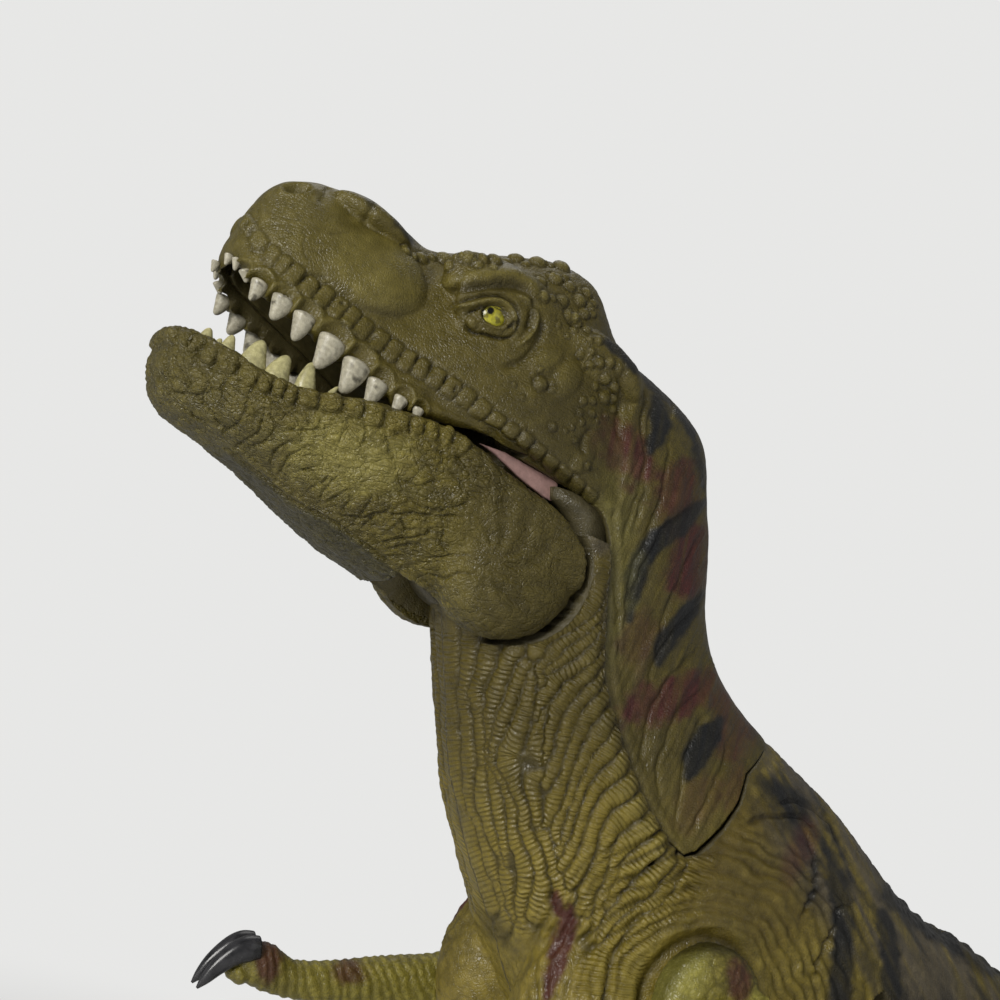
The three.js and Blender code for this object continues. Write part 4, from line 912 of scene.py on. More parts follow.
# Ropes of loose skin down the throat.
THROAT_ROPES = drawn("""
    110,260 105,450 110,600 125,750 165,900 205,1050 240,1150 270,1240; 180,250 165,400 150,480 165,620
    170,740 165,830 175,900 215,980 240,1080 290,1230 315,1300; 250,270 225,380 190,470 215,600 225,700
    220,830 240,950 290,1060 300,1180 325,1290; 330,330 290,430 240,560 240,660 235,730 270,800 280,900
    290,1000 300,1090; 370,380 340,450 300,540 260,640 250,720 300,800 330,900 330,1000 375,1090 380,1160
    355,1240 345,1330; 400,420 370,560 320,640 290,700 320,790 360,880 370,960 420,1080 425,1170 390,1260;
    430,540 425,640 430,740 400,830 420,930 450,1010 485,1120 520,1200; 660,220 620,330 560,380 480,420
    440,480 420,560; 665,330 600,400 520,500 470,580 455,660 430,740; 675,400 640,430 560,530 520,620 490,720
    450,790; 680,450 600,550 560,640 530,720 500,810 470,900 430,950; 690,560 640,620 600,690 560,770 530,860
    490,940 500,1010; 720,600 680,660 620,740 570,830 540,920 520,980 490,1040; 740,700 680,760 630,810
    590,890 560,980 520,1060 500,1100; 770,780 720,830 660,880 620,960 600,1030 560,1100 520,1160; 790,860
    740,900 680,960 660,1050 640,1120 600,1180 590,1250; 830,940 770,990 700,1050 690,1120 660,1200 620,1290
    590,1300; 860,1000 800,1050 740,1100 700,1160 660,1230; 900,1060 860,1110 780,1190 700,1260 640,1350;
    940,1070 900,1140 850,1220 740,1290 650,1400 620,1560; 1000,1040 940,1150 880,1230 800,1290 740,1400
    700,1560; 700,20 670,100 600,190 530,240 450,280 420,330; 690,110 650,180 580,250 500,310 440,380 430,440;
    680,170 640,240 570,310 450,400""", THROAT_VIEW)


def ropes(r, lines, reach=26):
    """Rounded strands along guide lines, with a valley midway between two of them."""
    lines = [between(line) for line in lines]
    i = r.near(np.vstack(lines), reach)
    uv = r.uv[i] + 1.5 * np.stack([noise(flat3(r.uv[i]), 9, 41), noise(flat3(r.uv[i]), 9, 44)], 1)
    first, second, run = np.full(len(i), 99.0), np.full(len(i), 99.0), np.zeros(len(i))
    for line in lines:
        low, high = line.min(0) - 50, line.max(0) + 50
        j = np.nonzero(((uv > low) & (uv < high)).all(1))[0]
        d, along_it, _ = along(uv[j], line)
        nearer = d < first[j]
        second[j] = np.where(nearer, first[j], np.minimum(second[j], d))
        run[j] = np.where(nearer, along_it, run[j])
        first[j] = np.where(nearer, d, first[j])
    span = first + second
    t = np.clip(2 * first / np.maximum(span, 1e-6), 0, 1)
    here = (1 - smooth(reach * 0.6, reach, first)) * r.fade[i]
    tall = np.clip(span / PIXELS * 0.45, 0.3, 1.3)
    r.height[i] += here * tall * (np.sqrt(np.clip(1 - t ** 2.4, 0, 1)) - 0.62)
    r.groove[i] = np.maximum(r.groove[i] * (1 - here), smooth(0.62, 1.0, t) * here)
    ribs, mask = np.zeros(len(r.p)), np.zeros(len(r.p))
    ribs[i], mask[i] = run, here * (1 - smooth(0.6, 0.95, t))
    return ribs, mask


SHOULDER_FOLDS = drawn("""
    744,826 758,820 776,816 792,815 808,820 820,830; 803,828 811,845 815,863 815,880 811,897 799,922; 846,896
    838,925 826,950 812,985; 772,806 800,800 830,822 842,850""")


def torso_relief(p, n):
    r = Relief(p, n)
    uv = r.uv
    height, groove = leather(p, 2.2, 0.14, 7)
    lower = smooth(-60, -90, p[:, 2])
    large, deep = leather(p, 3.4, 0.3, 10)
    r.height += height * (1 - 0.4 * lower) + large * lower + 0.3 * noise(p, 10, 8, 2)
    r.groove = np.maximum(groove * 0.4, deep * lower * 0.6)
    ribs, mask = ropes(r, THROAT_ROPES)
    # a raised fold round the seam of the nape shell, and painted shade in the seam
    edge, _, _ = along(p[:, [0, 2]], grown(SHELL_OUTLINE, SEAM)[:14])
    front = smooth(44, 34, p[:, 0])
    fold, sunk = np.exp(-((edge - 1.9) / 1.5) ** 2), np.exp(-(edge / 2.5) ** 2)
    r.height += 0.75 * front * fold - 0.45 * (1 - front) * sunk
    r.darken((0.3 + 0.4 * front) * np.exp(-(edge / 0.6) ** 2))
    # the collar round the turning shoulder, with painted shade in the gap round the disc
    from_disc = np.hypot(p[:, 0] - SHOULDER[0], p[:, 2] - SHOULDER[2]) - SHOULDER_RADIUS - SEAM
    r.height += 0.5 * np.exp(-((from_disc - 2.2) / 1.2) ** 2) - 0.5 * np.exp(-(from_disc / 0.7) ** 2)
    r.darken(np.exp(-(from_disc / 0.9) ** 2))
    # wrinkles round the shoulder, and long folds along the back
    r.mounds([SHOULDER_MUSCLE], 1.1, 0, 0, 0.9)
    du, dv = (uv - SHOULDER_SWIRL).T
    away, turn = np.hypot(du, dv), np.degrees(np.arctan2(dv, du))
    wave = np.sin((away + 9 * noise(flat3(uv), 60, 51) + 4 * noise(flat3(uv), 16, 52)) * 2 * math.pi / 12)
    here = smooth(66, 80, away) * smooth(200, 165, away) * r.fade * smooth(20, 0, turn)
    here = here * (0.55 + 0.45 * smooth(-0.2, 0.3, noise(flat3(uv), 30, 53)))
    r.height += 0.34 * wave * here
    r.darken(0.75 * smooth(-0.3, -1, wave) * here)
    run = (uv - (700, 700)) @ np.array([0.78, -0.62])
    folds = np.sin((run + 8 * noise(flat3(uv), 70, 61, 2)) * 2 * math.pi / 17)
    r.lines(SHOULDER_FOLDS, 2.6, 0.9, 1.0, 2.0)
    back = smooth(740, 790, uv[:, 0]) * smooth(700, 760, uv[:, 1]) * smooth(0, 60, run - 20) * r.fade
    strands = 1 - np.abs(streaks(uv, 52, 90, 10, 26)) * 2.4
    r.height += 0.3 * back * np.clip(strands, -0.5, 1)
    r.darken(0.5 * back * smooth(0.35, -0.4, strands))
    r.height += 0.3 * folds * back * 0.8
    r.darken(0.6 * smooth(-0.3, -1, folds) * back)
    # low spines along the back
    spine = smooth(4.5, 1.0, np.abs(p[:, 1])) * smooth(66, 86, p[:, 0]) * smooth(0.2, 0.6, n[:, 2])
    r.height += 0.8 * spine * np.clip(np.sin(p[:, 0] * 2 * math.pi / 4.6), 0, 1) ** 0.7
    return r.result(ribs=ribs, ribbed=mask)


def arm_relief(p, n):
    height, groove = leather(p, 1.25, 0.1, 9)
    x, y, z = p.T
    away = np.hypot(x, z)
    arm = smooth(SHOULDER_RADIUS, SHOULDER_RADIUS + 3, away)
    rings = np.sin((away + 0.8 * noise(p, 3, 71)) * 2 * math.pi / 1.7)
    height = height + 0.1 * rings * arm + 0.15 * noise(p, 4, 72)
    groove = np.maximum(groove * 0.5, 0.6 * smooth(-0.4, -1, rings) * arm)
    disc = smooth(SHOULDER_RADIUS + 0.3, SHOULDER_RADIUS - 0.8, away) * smooth(2, 4, y)
    big, deep = leather(p, 2.1, 0.22, 73)
    return height + big * disc, {"groove": np.maximum(groove, deep * disc * 0.7)}


def limb_relief(seed, size=2.8):
    def relief(p, n):
        height, groove = leather(p, size, 0.24, seed)
        fine, _ = leather(p, size * 0.42, 0.08, seed + 40)
        folds = np.sin((p[:, 2] + p[:, 0] * 0.4 + 1.6 * noise(p, 9, seed + 50, 2)) * 2 * math.pi / 5.2)
        where = smooth(0.0, 0.5, noise(p, 14, seed + 60) + 0.15)
        height = height + fine + 0.35 * noise(p, 9, seed + 1, 2) + 0.22 * folds * where
        return height, {"groove": np.maximum(groove * 0.55, 0.45 * smooth(-0.4, -1, folds) * where)}
    return relief


# Colours
def colour(r, g, b):
    c = np.array([r, g, b], float) / 255
    return np.where(c <= 0.04045, c / 12.92, ((c + 0.055) / 1.055) ** 2.4)


DARK_OLIVE, PALE_OLIVE = (64, 56, 18), (134, 124, 62)
MAROON, BLACK, WASH = (68, 28, 28), (17, 19, 21), (84, 77, 64)
CORE_BROWN, PINK, GUM_DARK = colour(75, 69, 47), colour(156, 124, 118), colour(74, 67, 38)
UPPER_TOOTH, LOWER_TOOTH, TOOTH_PIT = colour(168, 163, 144), colour(174, 168, 122), (52, 47, 34)


def mixed(under, over, share):
    """Two colours blended, the second one with that share at each point."""
    over = colour(*over) if isinstance(over, tuple) else over
    share = np.asarray(share)[:, None]
    return under * (1 - share) + over * share


def coloured(obj, values):
    full = np.ones((len(values), 4), np.float32)
    full[:, :3] = np.clip(values, 0, 1)
    obj.data.color_attributes.new("paint", "FLOAT_COLOR", "POINT").data.foreach_set("color", full.ravel())
    return obj


def painted(obj, paint, inner_colour=CORE_BROWN):
    """Vertex colours: paint(points, pixels, groove, relief) on the skin, and plain on cut faces."""
    p = points_of(obj)
    outer = smooth(0.4, 0.9, values_of(obj, "skin"))
    shade = paint(p, photo(p), values_of(obj, "groove"), values_of(obj, "relief"))
    inner = np.broadcast_to(inner_colour, shade.shape) * (1 + 0.15 * noise(p, 4, 77))[:, None]
    return coloured(obj, mixed(inner, shade, outer))


def olive(p, groove, relief, base=(100, 90, 33)):
    """Olive plastic: cloudy, with painted shade in the grooves, and lighter on the high spots."""
    shade = np.broadcast_to(colour(*base), (len(p), 3))
    shade = mixed(shade, DARK_OLIVE, smooth(0.0, 0.8, noise(p, 13, 31, 2)) * 0.45)
    shade = mixed(shade, PALE_OLIVE, smooth(0.1, 0.8, relief) * 0.25)
    return shade * (1 - 0.62 * groove)[:, None]


def stroke(uv, line, width, soft, rough, seed, strength=1.0, ends=True):
    """A hand-painted stroke along a line: 1 inside it, 0 outside, with an uneven edge."""
    points = np.array(listed(line) if isinstance(line, str) else line, float)
    points = between(points) if len(points) > 2 else points
    low, high = points.min(0) - width - 12, points.max(0) + width + 12
    i = np.nonzero(((uv > low) & (uv < high)).all(1))[0]
    out = np.zeros(len(uv))
    if len(i):
        d, reach, _ = along(uv[i], points)
        d = d + rough * noise(flat3(uv[i]), 9, seed, 2)
        share = reach / reach.max()
        thin = np.minimum(1, 0.35 + 2.6 * np.minimum(share, 1 - share)) if ends else 1
        out[i] = 1 - smooth(width / 2 * thin - soft, width / 2 * thin + soft, d)
    return out * strength


def strokes(uv, *rows):
    """Several strokes as one layer of paint."""
    return np.maximum.reduce([stroke(uv, *row) for row in rows])


def patch(uv, x, y, a, b, turn, soft, rough, seed):
    """A soft oval of paint."""
    r = np.hypot(*oval(uv, x, y, a, b, turn)) + rough * noise(flat3(uv), 14, seed, 3)
    return 1 - smooth(1 - soft, 1 + soft, r)


def streaks(uv, angle, length, width, seed):
    """Noise drawn out along one direction of the picture."""
    return noise(flat3(np.column_stack(oval(uv, 0, 0, length, width, angle))), 1, seed, 2)


# Maroon patches of the nape: the middle, half length, half width, turn and strength.
MAROON_BANDS = listed("""
    628,452,34,22,60,0.8 676,492,18,30,10,0.75 692,560,20,38,8,0.8 668,700,48,20,-22,0.85
    735,712,18,44,0,0.55 640,640,20,26,10,0.35 700,800,20,30,40,0.3 745,800,20,30,-20,0.4""")


def head_paint(p, uv, groove, relief):
    # a browner olive, kept darker than the jaw's and the body's as painted shade for the light falling off
    # towards the head
    shade = olive(p, groove, relief, (82, 73, 27))
    u, v = uv.T
    # the nape shell's paint: painted shade darkening the whole shell, lighter again low down, then grey wash,
    # maroon bands and black strokes, drawn out along its folds
    grain = streaks(uv, 100, 60, 5, 81)
    nape = smooth(590, 640, u + 0.25 * (v - 350)) * smooth(330, 400, v + 0.3 * (u - 600))
    shade = mixed(shade, (78, 69, 25), 0.8 * nape)
    shade = mixed(shade, WASH, 0.14 * nape * smooth(-0.2, 0.6, grain))
    shade = mixed(shade, (100, 89, 36), 0.6 * nape * smooth(750, 820, v))
    shade = shade * (1 + 0.22 * nape * streaks(uv, 112, 60, 3, 80))[:, None]
    for x, y, a, b, turn, amount in MAROON_BANDS:
        m = patch(uv, x, y, a * 1.1, b * 1.1, turn, 0.35, 0.5, 82)
        shade = mixed(shade, MAROON, np.clip(1.2 * amount * m * (0.8 + 0.5 * grain), 0, 0.95))
    black = strokes(uv,
        ("656,398 660,425 650,452", 21, 4, 4, 83),
        ("706,500 690,514 672,530 650,548 638,570 633,592 630,618", 22, 3.5, 3, 84),
        ("702,594 692,608 680,624 664,646 658,664", 21, 3.5, 3, 85),
        ("720,720 708,738 696,758 688,776", 27, 3.5, 3, 86),
        ("608,342 625,358 641,373 655,388 668,400", 9, 3, 3, 87, 1, False),
        ("672,402 690,430 700,460 704,490", 8, 4, 4, 88),
        ("358,188 366,196 375,208", 8, 3, 3, 89),
        ("394,216 404,228 412,242", 9, 3, 3, 90),
        ("722,600 722,640 730,680", 12, 5, 5, 91, 0.7),
        ("740,690 752,720 762,750", 10, 5, 5, 92, 0.5))
    shade = mixed(shade, BLACK, np.clip(black * (0.93 + 0.15 * grain), 0, 1))
    # lighter greenish yellow beside the black: a painted highlight along the raised front edge of the nape
    # shell
    shade = mixed(shade, (120, 116, 62), 0.3 * patch(uv, 610, 560, 26, 90, 5, 0.6, 0.4, 93))
    # darker, browner skin on the snout; painted shade under the brow and on the cheek above the corner of the
    # mouth, and a painted shadow below the rear end of the snout's swelling
    shade = mixed(shade, (92, 84, 36), 0.5 * smooth(470, 300, u) * smooth(430, 200, v))
    shade = mixed(shade, (52, 46, 24), 0.5 * stroke(uv, BROW_SHADOW[0], 8, 6, 2, 94))
    shade = mixed(shade, (58, 51, 20), 0.6 * patch(uv, 560, 440, 46, 60, 0, 0.6, 0.4, 95))
    snout_shadow = stroke(uv, "366,308 390,314 410,308 424,292 428,272", 9, 9, 3, 96)
    return mixed(shade, (48, 42, 18), 0.6 * snout_shadow)


def jaw_paint(p, uv, groove, relief):
    u, _ = uv.T
    shade = olive(p, groove, relief)
    shade = mixed(shade, (84, 77, 38), 0.6 * smooth(430, 200, u))
    # painted shade darkening the rear of the jaw
    shade = mixed(shade, (66, 58, 20), 0.8 * smooth(430, 500, u))
    # a painted highlight, lighter and greener, on the middle of the jaw's side
    shade = mixed(shade, (138, 130, 68), 0.62 * patch(uv, 345, 455, 62, 34, 12, 0.6, 0.4, 128))
    # painted shade on the downturned band along the underside, below the bevel line
    away, _, side = along(uv, between(JAW_BEVEL[0]))
    below = smooth(-1, 4, away * side) * smooth(450, 420, u) * smooth(200, 230, u)
    return mixed(shade, (58, 55, 30), 0.75 * below)


def torso_paint(p, uv, groove, relief):
    u, v = uv.T
    x, y, z = p.T
    shade = olive(p, groove, relief, (118, 104, 38))
    # painted shade darkening the throat under the jaw
    shade = mixed(shade, (70, 61, 20), 0.8 * smooth(860, 700, v) * smooth(70, 30, x))
    shade = mixed(shade, (80, 66, 22), 0.6 * patch(uv, 757, 875, 75, 70, 20, 0.5, 0.3, 98))
    # more painted shade in the grooves of the throat and chest
    shade = shade * (1 - 0.3 * groove * smooth(960, 860, v))[:, None]
    shade = mixed(shade, (74, 67, 50), 0.85 * patch(uv, 600, 541, 13, 14, 0, 0.4, 0.2, 97))
    grain = streaks(uv, 65, 70, 6, 101)
    # the back: grey purple wash, then black stripes
    back = smooth(735, 790, u) * smooth(-6, 4, z + 0.55 * x - 8) * smooth(640, 740, v)
    shade = mixed(shade, WASH, np.clip(0.9 * back * smooth(-0.6, 0.2, grain), 0, 1))
    fine = streaks(uv, 55, 60, 4, 100)
    shade = shade * (1 + 0.3 * back * fine)[:, None]
    shade = mixed(shade, BLACK, 0.6 * back * smooth(0.15, 0.55, streaks(uv, 58, 80, 9, 99)))
    shade = mixed(shade, BLACK, 0.7 * patch(uv, 782, 800, 30, 24, 30, 0.5, 0.6, 98) * smooth(-0.3, 0.3, fine))
    black = strokes(uv,
        ("760,778 772,790 790,800 806,822", 26, 7, 7, 102),
        ("812,792 828,822 838,846 852,880", 7, 4, 4, 103),
        ("822,836 830,862 836,886", 12, 4, 4, 104),
        ("838,880 843,920 842,960 840,1010", 22, 4, 4, 105, 1, False),
        ("884,918 890,950 892,980 896,1010", 19, 4, 4, 106, 1, False),
        ("816,800 822,820", 7, 4, 4, 107, 0.8),
        ("812,858 815,885 808,905", 7, 4, 3, 108, 0.9),
        ("800,838 812,852 817,870", 6, 3, 3, 109, 0.9),
        ("890,893 930,925 965,948 1010,975", 22, 6, 6, 110, 1, False))
    shade = mixed(shade, BLACK, np.clip(black * (0.9 + 0.2 * grain), 0, 0.96))
    # maroon stripes on the chest and beside the shoulder
    maroon = strokes(uv,
        ("556,894 560,912 575,922", 12, 4, 3, 111),
        ("572,908 565,935 556,965 545,1000", 20, 4, 4, 112),
        ("461,936 462,965 462,998", 5, 2, 1, 113, 0.8))
    maroon = np.maximum(maroon, 0.5 * patch(uv, 800, 850, 12, 30, 20, 0.5, 0.4, 114))
    shade = mixed(shade, MAROON, np.clip(maroon, 0, 0.9))
    # below the picture: dark stripes down the flanks and a dark spine
    bands = np.sin((x + 0.35 * z + 5 * noise(p, 18, 115, 2)) * 2 * math.pi / 13)
    flank = smooth(64, 84, x) * smooth(-96, -62, z) * smooth(960, 1030, v)
    shade = mixed(shade, BLACK, 0.75 * flank * smooth(0.35, 0.8, bands))
    spine = smooth(9, 4, np.abs(y)) * smooth(60, 75, x) * smooth(-62, -40, z)
    return mixed(shade, BLACK, 0.7 * spine * smooth(-0.6, 0.3, noise(p, 5, 116, 2)))


def arm_paint(p, uv, groove, relief):
    shade = olive(p, groove, relief, (128, 119, 48))
    centre = SHOULDER * np.array([1, 0, 1])
    away = np.hypot(p[:, 0] - centre[0], p[:, 2] - centre[2])
    disc = smooth(SHOULDER_RADIUS + 1, SHOULDER_RADIUS - 1, away)
    # painted shade in the gap round the edge of the shoulder disc
    shade = shade * (1 - 0.75 * np.exp(-((away - SHOULDER_RADIUS) / 0.9) ** 2))[:, None]
    shade = mixed(shade, (150, 146, 70), 0.45 * disc * smooth(-0.3, 0.5, noise(p, 7, 121)))
    shade = mixed(shade, MAROON, 0.8 * patch(uv, 738, 982, 12, 24, 0, 0.4, 0.5, 122))
    own = photo(p, mirror=False)
    shade = mixed(shade, MAROON, 0.75 * patch(own, 350, 970, 15, 12, 0, 0.5, 0.6, 123))
    return mixed(shade, MAROON, 0.8 * patch(own, 268, 956, 14, 26, 0, 0.4, 0.5, 124))


def limb_paint(seed):
    def paint(p, uv, groove, relief):
        shade = olive(p, groove, relief)
        bands = np.sin((p[:, 2] + 0.5 * p[:, 0] + 4 * noise(p, 14, seed, 2)) * 2 * math.pi / 15)
        upper = smooth(-135, -100, p[:, 2])
        shade = mixed(shade, WASH, 0.35 * smooth(0.0, 0.6, noise(p, 20, seed + 1, 2)))
        return mixed(shade, BLACK, 0.7 * upper * smooth(0.45, 0.9, bands))
    return paint


def tail_paint(p, uv, groove, relief):
    shade = olive(p, groove, relief)
    x, _, z = p.T
    bands = np.sin((x + 3 * noise(p, 10, 131, 2)) * 2 * math.pi / 14)
    top = smooth(-4, 8, z - np.interp(x, [146, 180, 220, 260, 305], [-60, -70, -74, -72, -68]))
    shade = mixed(shade, WASH, 0.5 * top * smooth(-0.4, 0.4, noise(p, 9, 132, 2)))
    return mixed(shade, BLACK, 0.8 * np.clip(top + 0.3, 0, 1) * smooth(0.3, 0.8, bands))


# Materials
RIB_PITCH = 5.2


def node(tree, kind, *sources, out=0, **named):
    """The output of a new shader node: inputs in order or by name, as values or as the outputs
    that feed them, and settings by their name in lower case."""
    new = tree.nodes.new("ShaderNode" + kind)
    given = list(enumerate(sources))
    for key, value in named.items():
        if key[0].islower():
            setattr(new, key, value)
        else:
            given.append((key.replace("_", " "), value))
    for key, value in given:
        if isinstance(value, bpy.types.NodeSocket):
            tree.links.new(value, new.inputs[key])
        else:
            new.inputs[key].default_value = value
    return new.outputs[out]


def ranged(tree, value, *limits, **named):
    """A value carried over from one range to another."""
    return node(tree, "MapRange", value, *limits, **named)


def calculated(tree, operation, *sources):
    return node(tree, "Math", *sources, operation=operation)


def material(name):
    mat = bpy.data.materials.new(name)
    mat.use_nodes = True
    return mat, mat.node_tree, mat.node_tree.nodes["Principled BSDF"]


def dressed_shader(tree, shader, base, roughness, height, strength, depth):
    """Links a shader's colour and roughness, and its fine relief of that depth in metres."""
    bump = node(tree, "Bump", Strength=strength, Distance=depth, Height=height)
    for key, value in (("Base Color", base), ("Roughness", roughness), ("Normal", bump)):
        tree.links.new(value, shader.inputs[key])


def skin_material(name, rough=(0.27, 0.46), fine=520.0, crackle=2100.0, depth=0.00018):
    """Painted soft plastic: vertex paint broken by fine noise, pores and a fine crackle."""
    mat, tree, shader = material(name)
    place = node(tree, "TexCoord", out="Object")
    grain = node(tree, "TexNoise", Vector=place, Scale=fine, Detail=5)
    paint = node(tree, "VertexColor", layer_name="paint")
    base = node(tree, "VectorMath", paint, Scale=ranged(tree, grain, 0.3, 0.7, 0.78, 1.2), operation="SCALE")
    veins = node(tree, "TexVoronoi", Vector=place, Scale=crackle, feature="DISTANCE_TO_EDGE")
    height = calculated(tree, "MULTIPLY_ADD", ranged(tree, veins, 0, 0.18), 0.35, grain)
    if name == "hide":
        height = creased(tree, ribbed(tree, height), place)
    dressed_shader(tree, shader, base, ranged(tree, grain, 0.3, 0.7, *rough), height, 0.7, depth)
    shader.inputs["Specular IOR Level"].default_value = 0.45
    return mat


def ribbed(tree, height):
    """Fine ribs across the ropes of the throat, from the run along each rope in pixels."""
    run = node(tree, "Attribute", attribute_name="ribs", out="Fac")
    mask = node(tree, "Attribute", attribute_name="ribbed", out="Fac")
    wave = calculated(tree, "SINE", calculated(tree, "MULTIPLY", run, 2 * math.pi / RIB_PITCH))
    return calculated(tree, "MULTIPLY_ADD", calculated(tree, "MULTIPLY", wave, mask), 0.9, height)


def creased(tree, height, place):
    """Leather where the skin is marked as wrinkled: fine creases in two directions, then two
    sizes of cracked cells. Each row has its turn in degrees, its scale and its height."""
    mask = node(tree, "Attribute", attribute_name="wrinkle", out="Fac")

    def drawn_out(turn, share):
        return node(tree, "Mapping", Vector=place, Rotation=(0, math.radians(turn), 0), Scale=(share, 1, 1))

    for turn, scale, amount in ((63, 620.0, 1.3), (5, 760.0, 0.9)):
        wander = node(tree, "TexNoise", Vector=drawn_out(turn, 0.4), Scale=scale, Detail=2.5, Distortion=0.6)
        away = calculated(tree, "ABSOLUTE", calculated(tree, "SUBTRACT", wander, 0.5))
        line = calculated(tree, "MULTIPLY", ranged(tree, away, 0, 0.045, 0, amount), mask)
        height = calculated(tree, "ADD", line, height)
    for turn, scale, amount in ((40, 560.0, 0.9), (75, 330.0, 1.3)):
        spread = drawn_out(turn, 0.62)
        wander = node(tree, "TexNoise", Vector=spread, Scale=scale * 0.8, out="Color")
        bent = node(tree, "VectorMath", wander, [1.3 / scale] * 3, spread, operation="MULTIPLY_ADD")
        cracks = node(tree, "TexVoronoi", Vector=bent, Scale=scale, feature="DISTANCE_TO_EDGE")
        height = calculated(tree, "MULTIPLY_ADD", ranged(tree, cracks, 0, 0.075, 0, amount), mask, height)
    return height


def spotted_material(name, first, second, scale, rough, metal=0.0, depth=0.00006):
    """A plain material whose colour wanders between two, with a fine relief."""
    mat, tree, shader = material(name)
    grain = node(tree, "TexNoise", Vector=node(tree, "TexCoord", out="Object"), Scale=scale, Detail=6)
    mix = node(tree, "ValToRGB", grain)
    ends = mix.node.color_ramp.elements
    ends[0].position, ends[1].position = 0.35, 0.65
    ends[0].color, ends[1].color = (*colour(*first), 1), (*colour(*second), 1)
    shader.inputs["Metallic"].default_value = metal
    dressed_shader(tree, shader, mix, ranged(tree, grain, 0, 1, *rough), grain, 0.5, depth)
    return mat


HIDE = skin_material("hide")
EYE_GLOSS = skin_material("eye", (0.04, 0.08), 3000, 5000, 0.00001)
ENAMEL = skin_material("enamel", (0.18, 0.34), 1800, 2600, 0.00005)
GUM = skin_material("gum", (0.3, 0.5), 900, 1800, 0.00008)
STEEL = spotted_material("steel", (150, 150, 148), (188, 188, 186), 2200, (0.22, 0.42), 1.0, 0.00002)
CLAW = spotted_material("claw", (26, 27, 30), (52, 52, 55), 500, (0.16, 0.34))
TONGUE = spotted_material("tongue", (96, 74, 60), (128, 98, 84), 700, (0.3, 0.5), 0, 0.0002)


def finished(obj, name, body, mat, slot, *nodes):
    """Puts a piece into the frame in metres, on its body, in place of its nodes."""
    put_points(obj, (points_of(obj) + AXLE) * MM)
    obj.name = obj.data.name = name
    obj.data.materials.clear()
    obj.data.materials.append(mat)
    count = len(obj.data.polygons)
    obj.data.polygons.foreach_set("material_index", np.zeros(count, np.int32))
    obj.data.polygons.foreach_set("use_smooth", np.ones(count, bool))
    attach(obj, body)
    if nodes:
        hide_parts(*nodes)
    return obj


# Head
HEAD_KNOBS = []
MOUTH_CORNER = listed("580,503 590,502.5 598,508 604,517 608,530 609.5,545 600,548 575,520")
CHEEK_FOLD = listed("480,443 505,452 530,466 558,481 559,504 545,498 520,478 494,453")
LINING_WALL, LINING_ROOF, FOLD_INNER, FOLD_OUTER = 1.4, 1.8, 12.1, 12.9


def lump(row, hand):
    ahead, up, side, long, high, wide = row
    place = on_head(ahead * HEAD_LENGTH, up * HEAD_HEIGHT) + np.array([0, hand * side * HEAD_HALF, 0])
    return ball(place, (long * HEAD_LENGTH, wide * HEAD_HALF, high * HEAD_HEIGHT), HEAD_TILT)


def ear(hand):
    top = EAR_RADIUS * 3.5
    outline = [(EAR_RADIUS * 1.25, top), (-EAR_RADIUS * 7 / 6, top)]
    for k in range(25):
        angle = math.pi + math.pi * k / 24
        outline.append((EAR_RADIUS * math.cos(angle), EAR_RADIUS * math.sin(angle)))
    plate = cut(slab(outline, EAR_IN, EAR_OUT), bar(AXLE_RADIUS + SEAT, 0, 0, EAR_IN - OVER, EAR_OUT + OVER))
    return flipped(plate) if hand < 0 else plate


def shell_inner():
    return trunk_skin(NECK[2:], SHELL_INSET + SHELL_WALL, SHELL_WALL, SHELL_WALL, -2 * OVER)


def neck_room():
    return trunk_skin([[0.163, 0.388, -0.062, 0.000, 0.64, 0.20, 2.2], *TRUNK[:2]],
                      SHELL_INSET + SHELL_WALL, SHELL_WALL, SHELL_WALL, -OVER)


def head_form():
    rows = [[0.045, 0.416, *NECK[0][2:]], [0.116, 0.403, *NECK[1][2:]], *NECK[2:]]
    wide_shell = common(trunk_skin(rows, SHELL_INSET, 0, 0, -OVER), across(grown(SHELL_OUTLINE, 3)))
    lumps = [lump(row, hand) for row in HEAD_LUMPS for hand in (-1, 1)]
    return remeshed(merged(lofted(head_rings()), wide_shell, *lumps), 0.32, 16)


def head_piece():
    form = head_form()
    tree = tree_of(form)
    HEAD_KNOBS.extend((seen_at(tree, u, v)[0], size / EYE_VIEW[2] / PIXELS)
                      for u, v, size in TUBERCLES)
    obj = sculpted(form, head_relief)
    edge = SHELL_OUTLINE[:15]
    outside = grown(SHELL_OUTLINE, 8)[:15]
    obj = cut(obj, across(edge + outside[::-1]))
    side = seen_at(tree, *MOUTH_CORNER[2])[0][1]
    corner = [tuple(at(u, v, side)[[0, 2]]) for u, v in MOUTH_CORNER]
    obj = cut(obj, *besides(lambda: slab(corner, 13, WIDE)))
    obj = cut(obj, common(shell_inner(), across(SHELL_OUTLINE)), neck_room(),
              head_trough(HEAD_WALL, -PALATE_RISE, PALATE_RISE, 0, 0.95))
    obj = union(obj, ear(-1), ear(1))
    finished(painted(obj, head_paint, GUM_DARK), "head_skin", "head", HIDE, "hide", "head_shell")
    eyes(tree)
    teeth("upper_teeth", UPPER_TEETH, HEAD, HEAD_LENGTH, HEAD_HALF, 0.8, "head", UPPER_TOOTH, 0.2)
    mouth_lining()


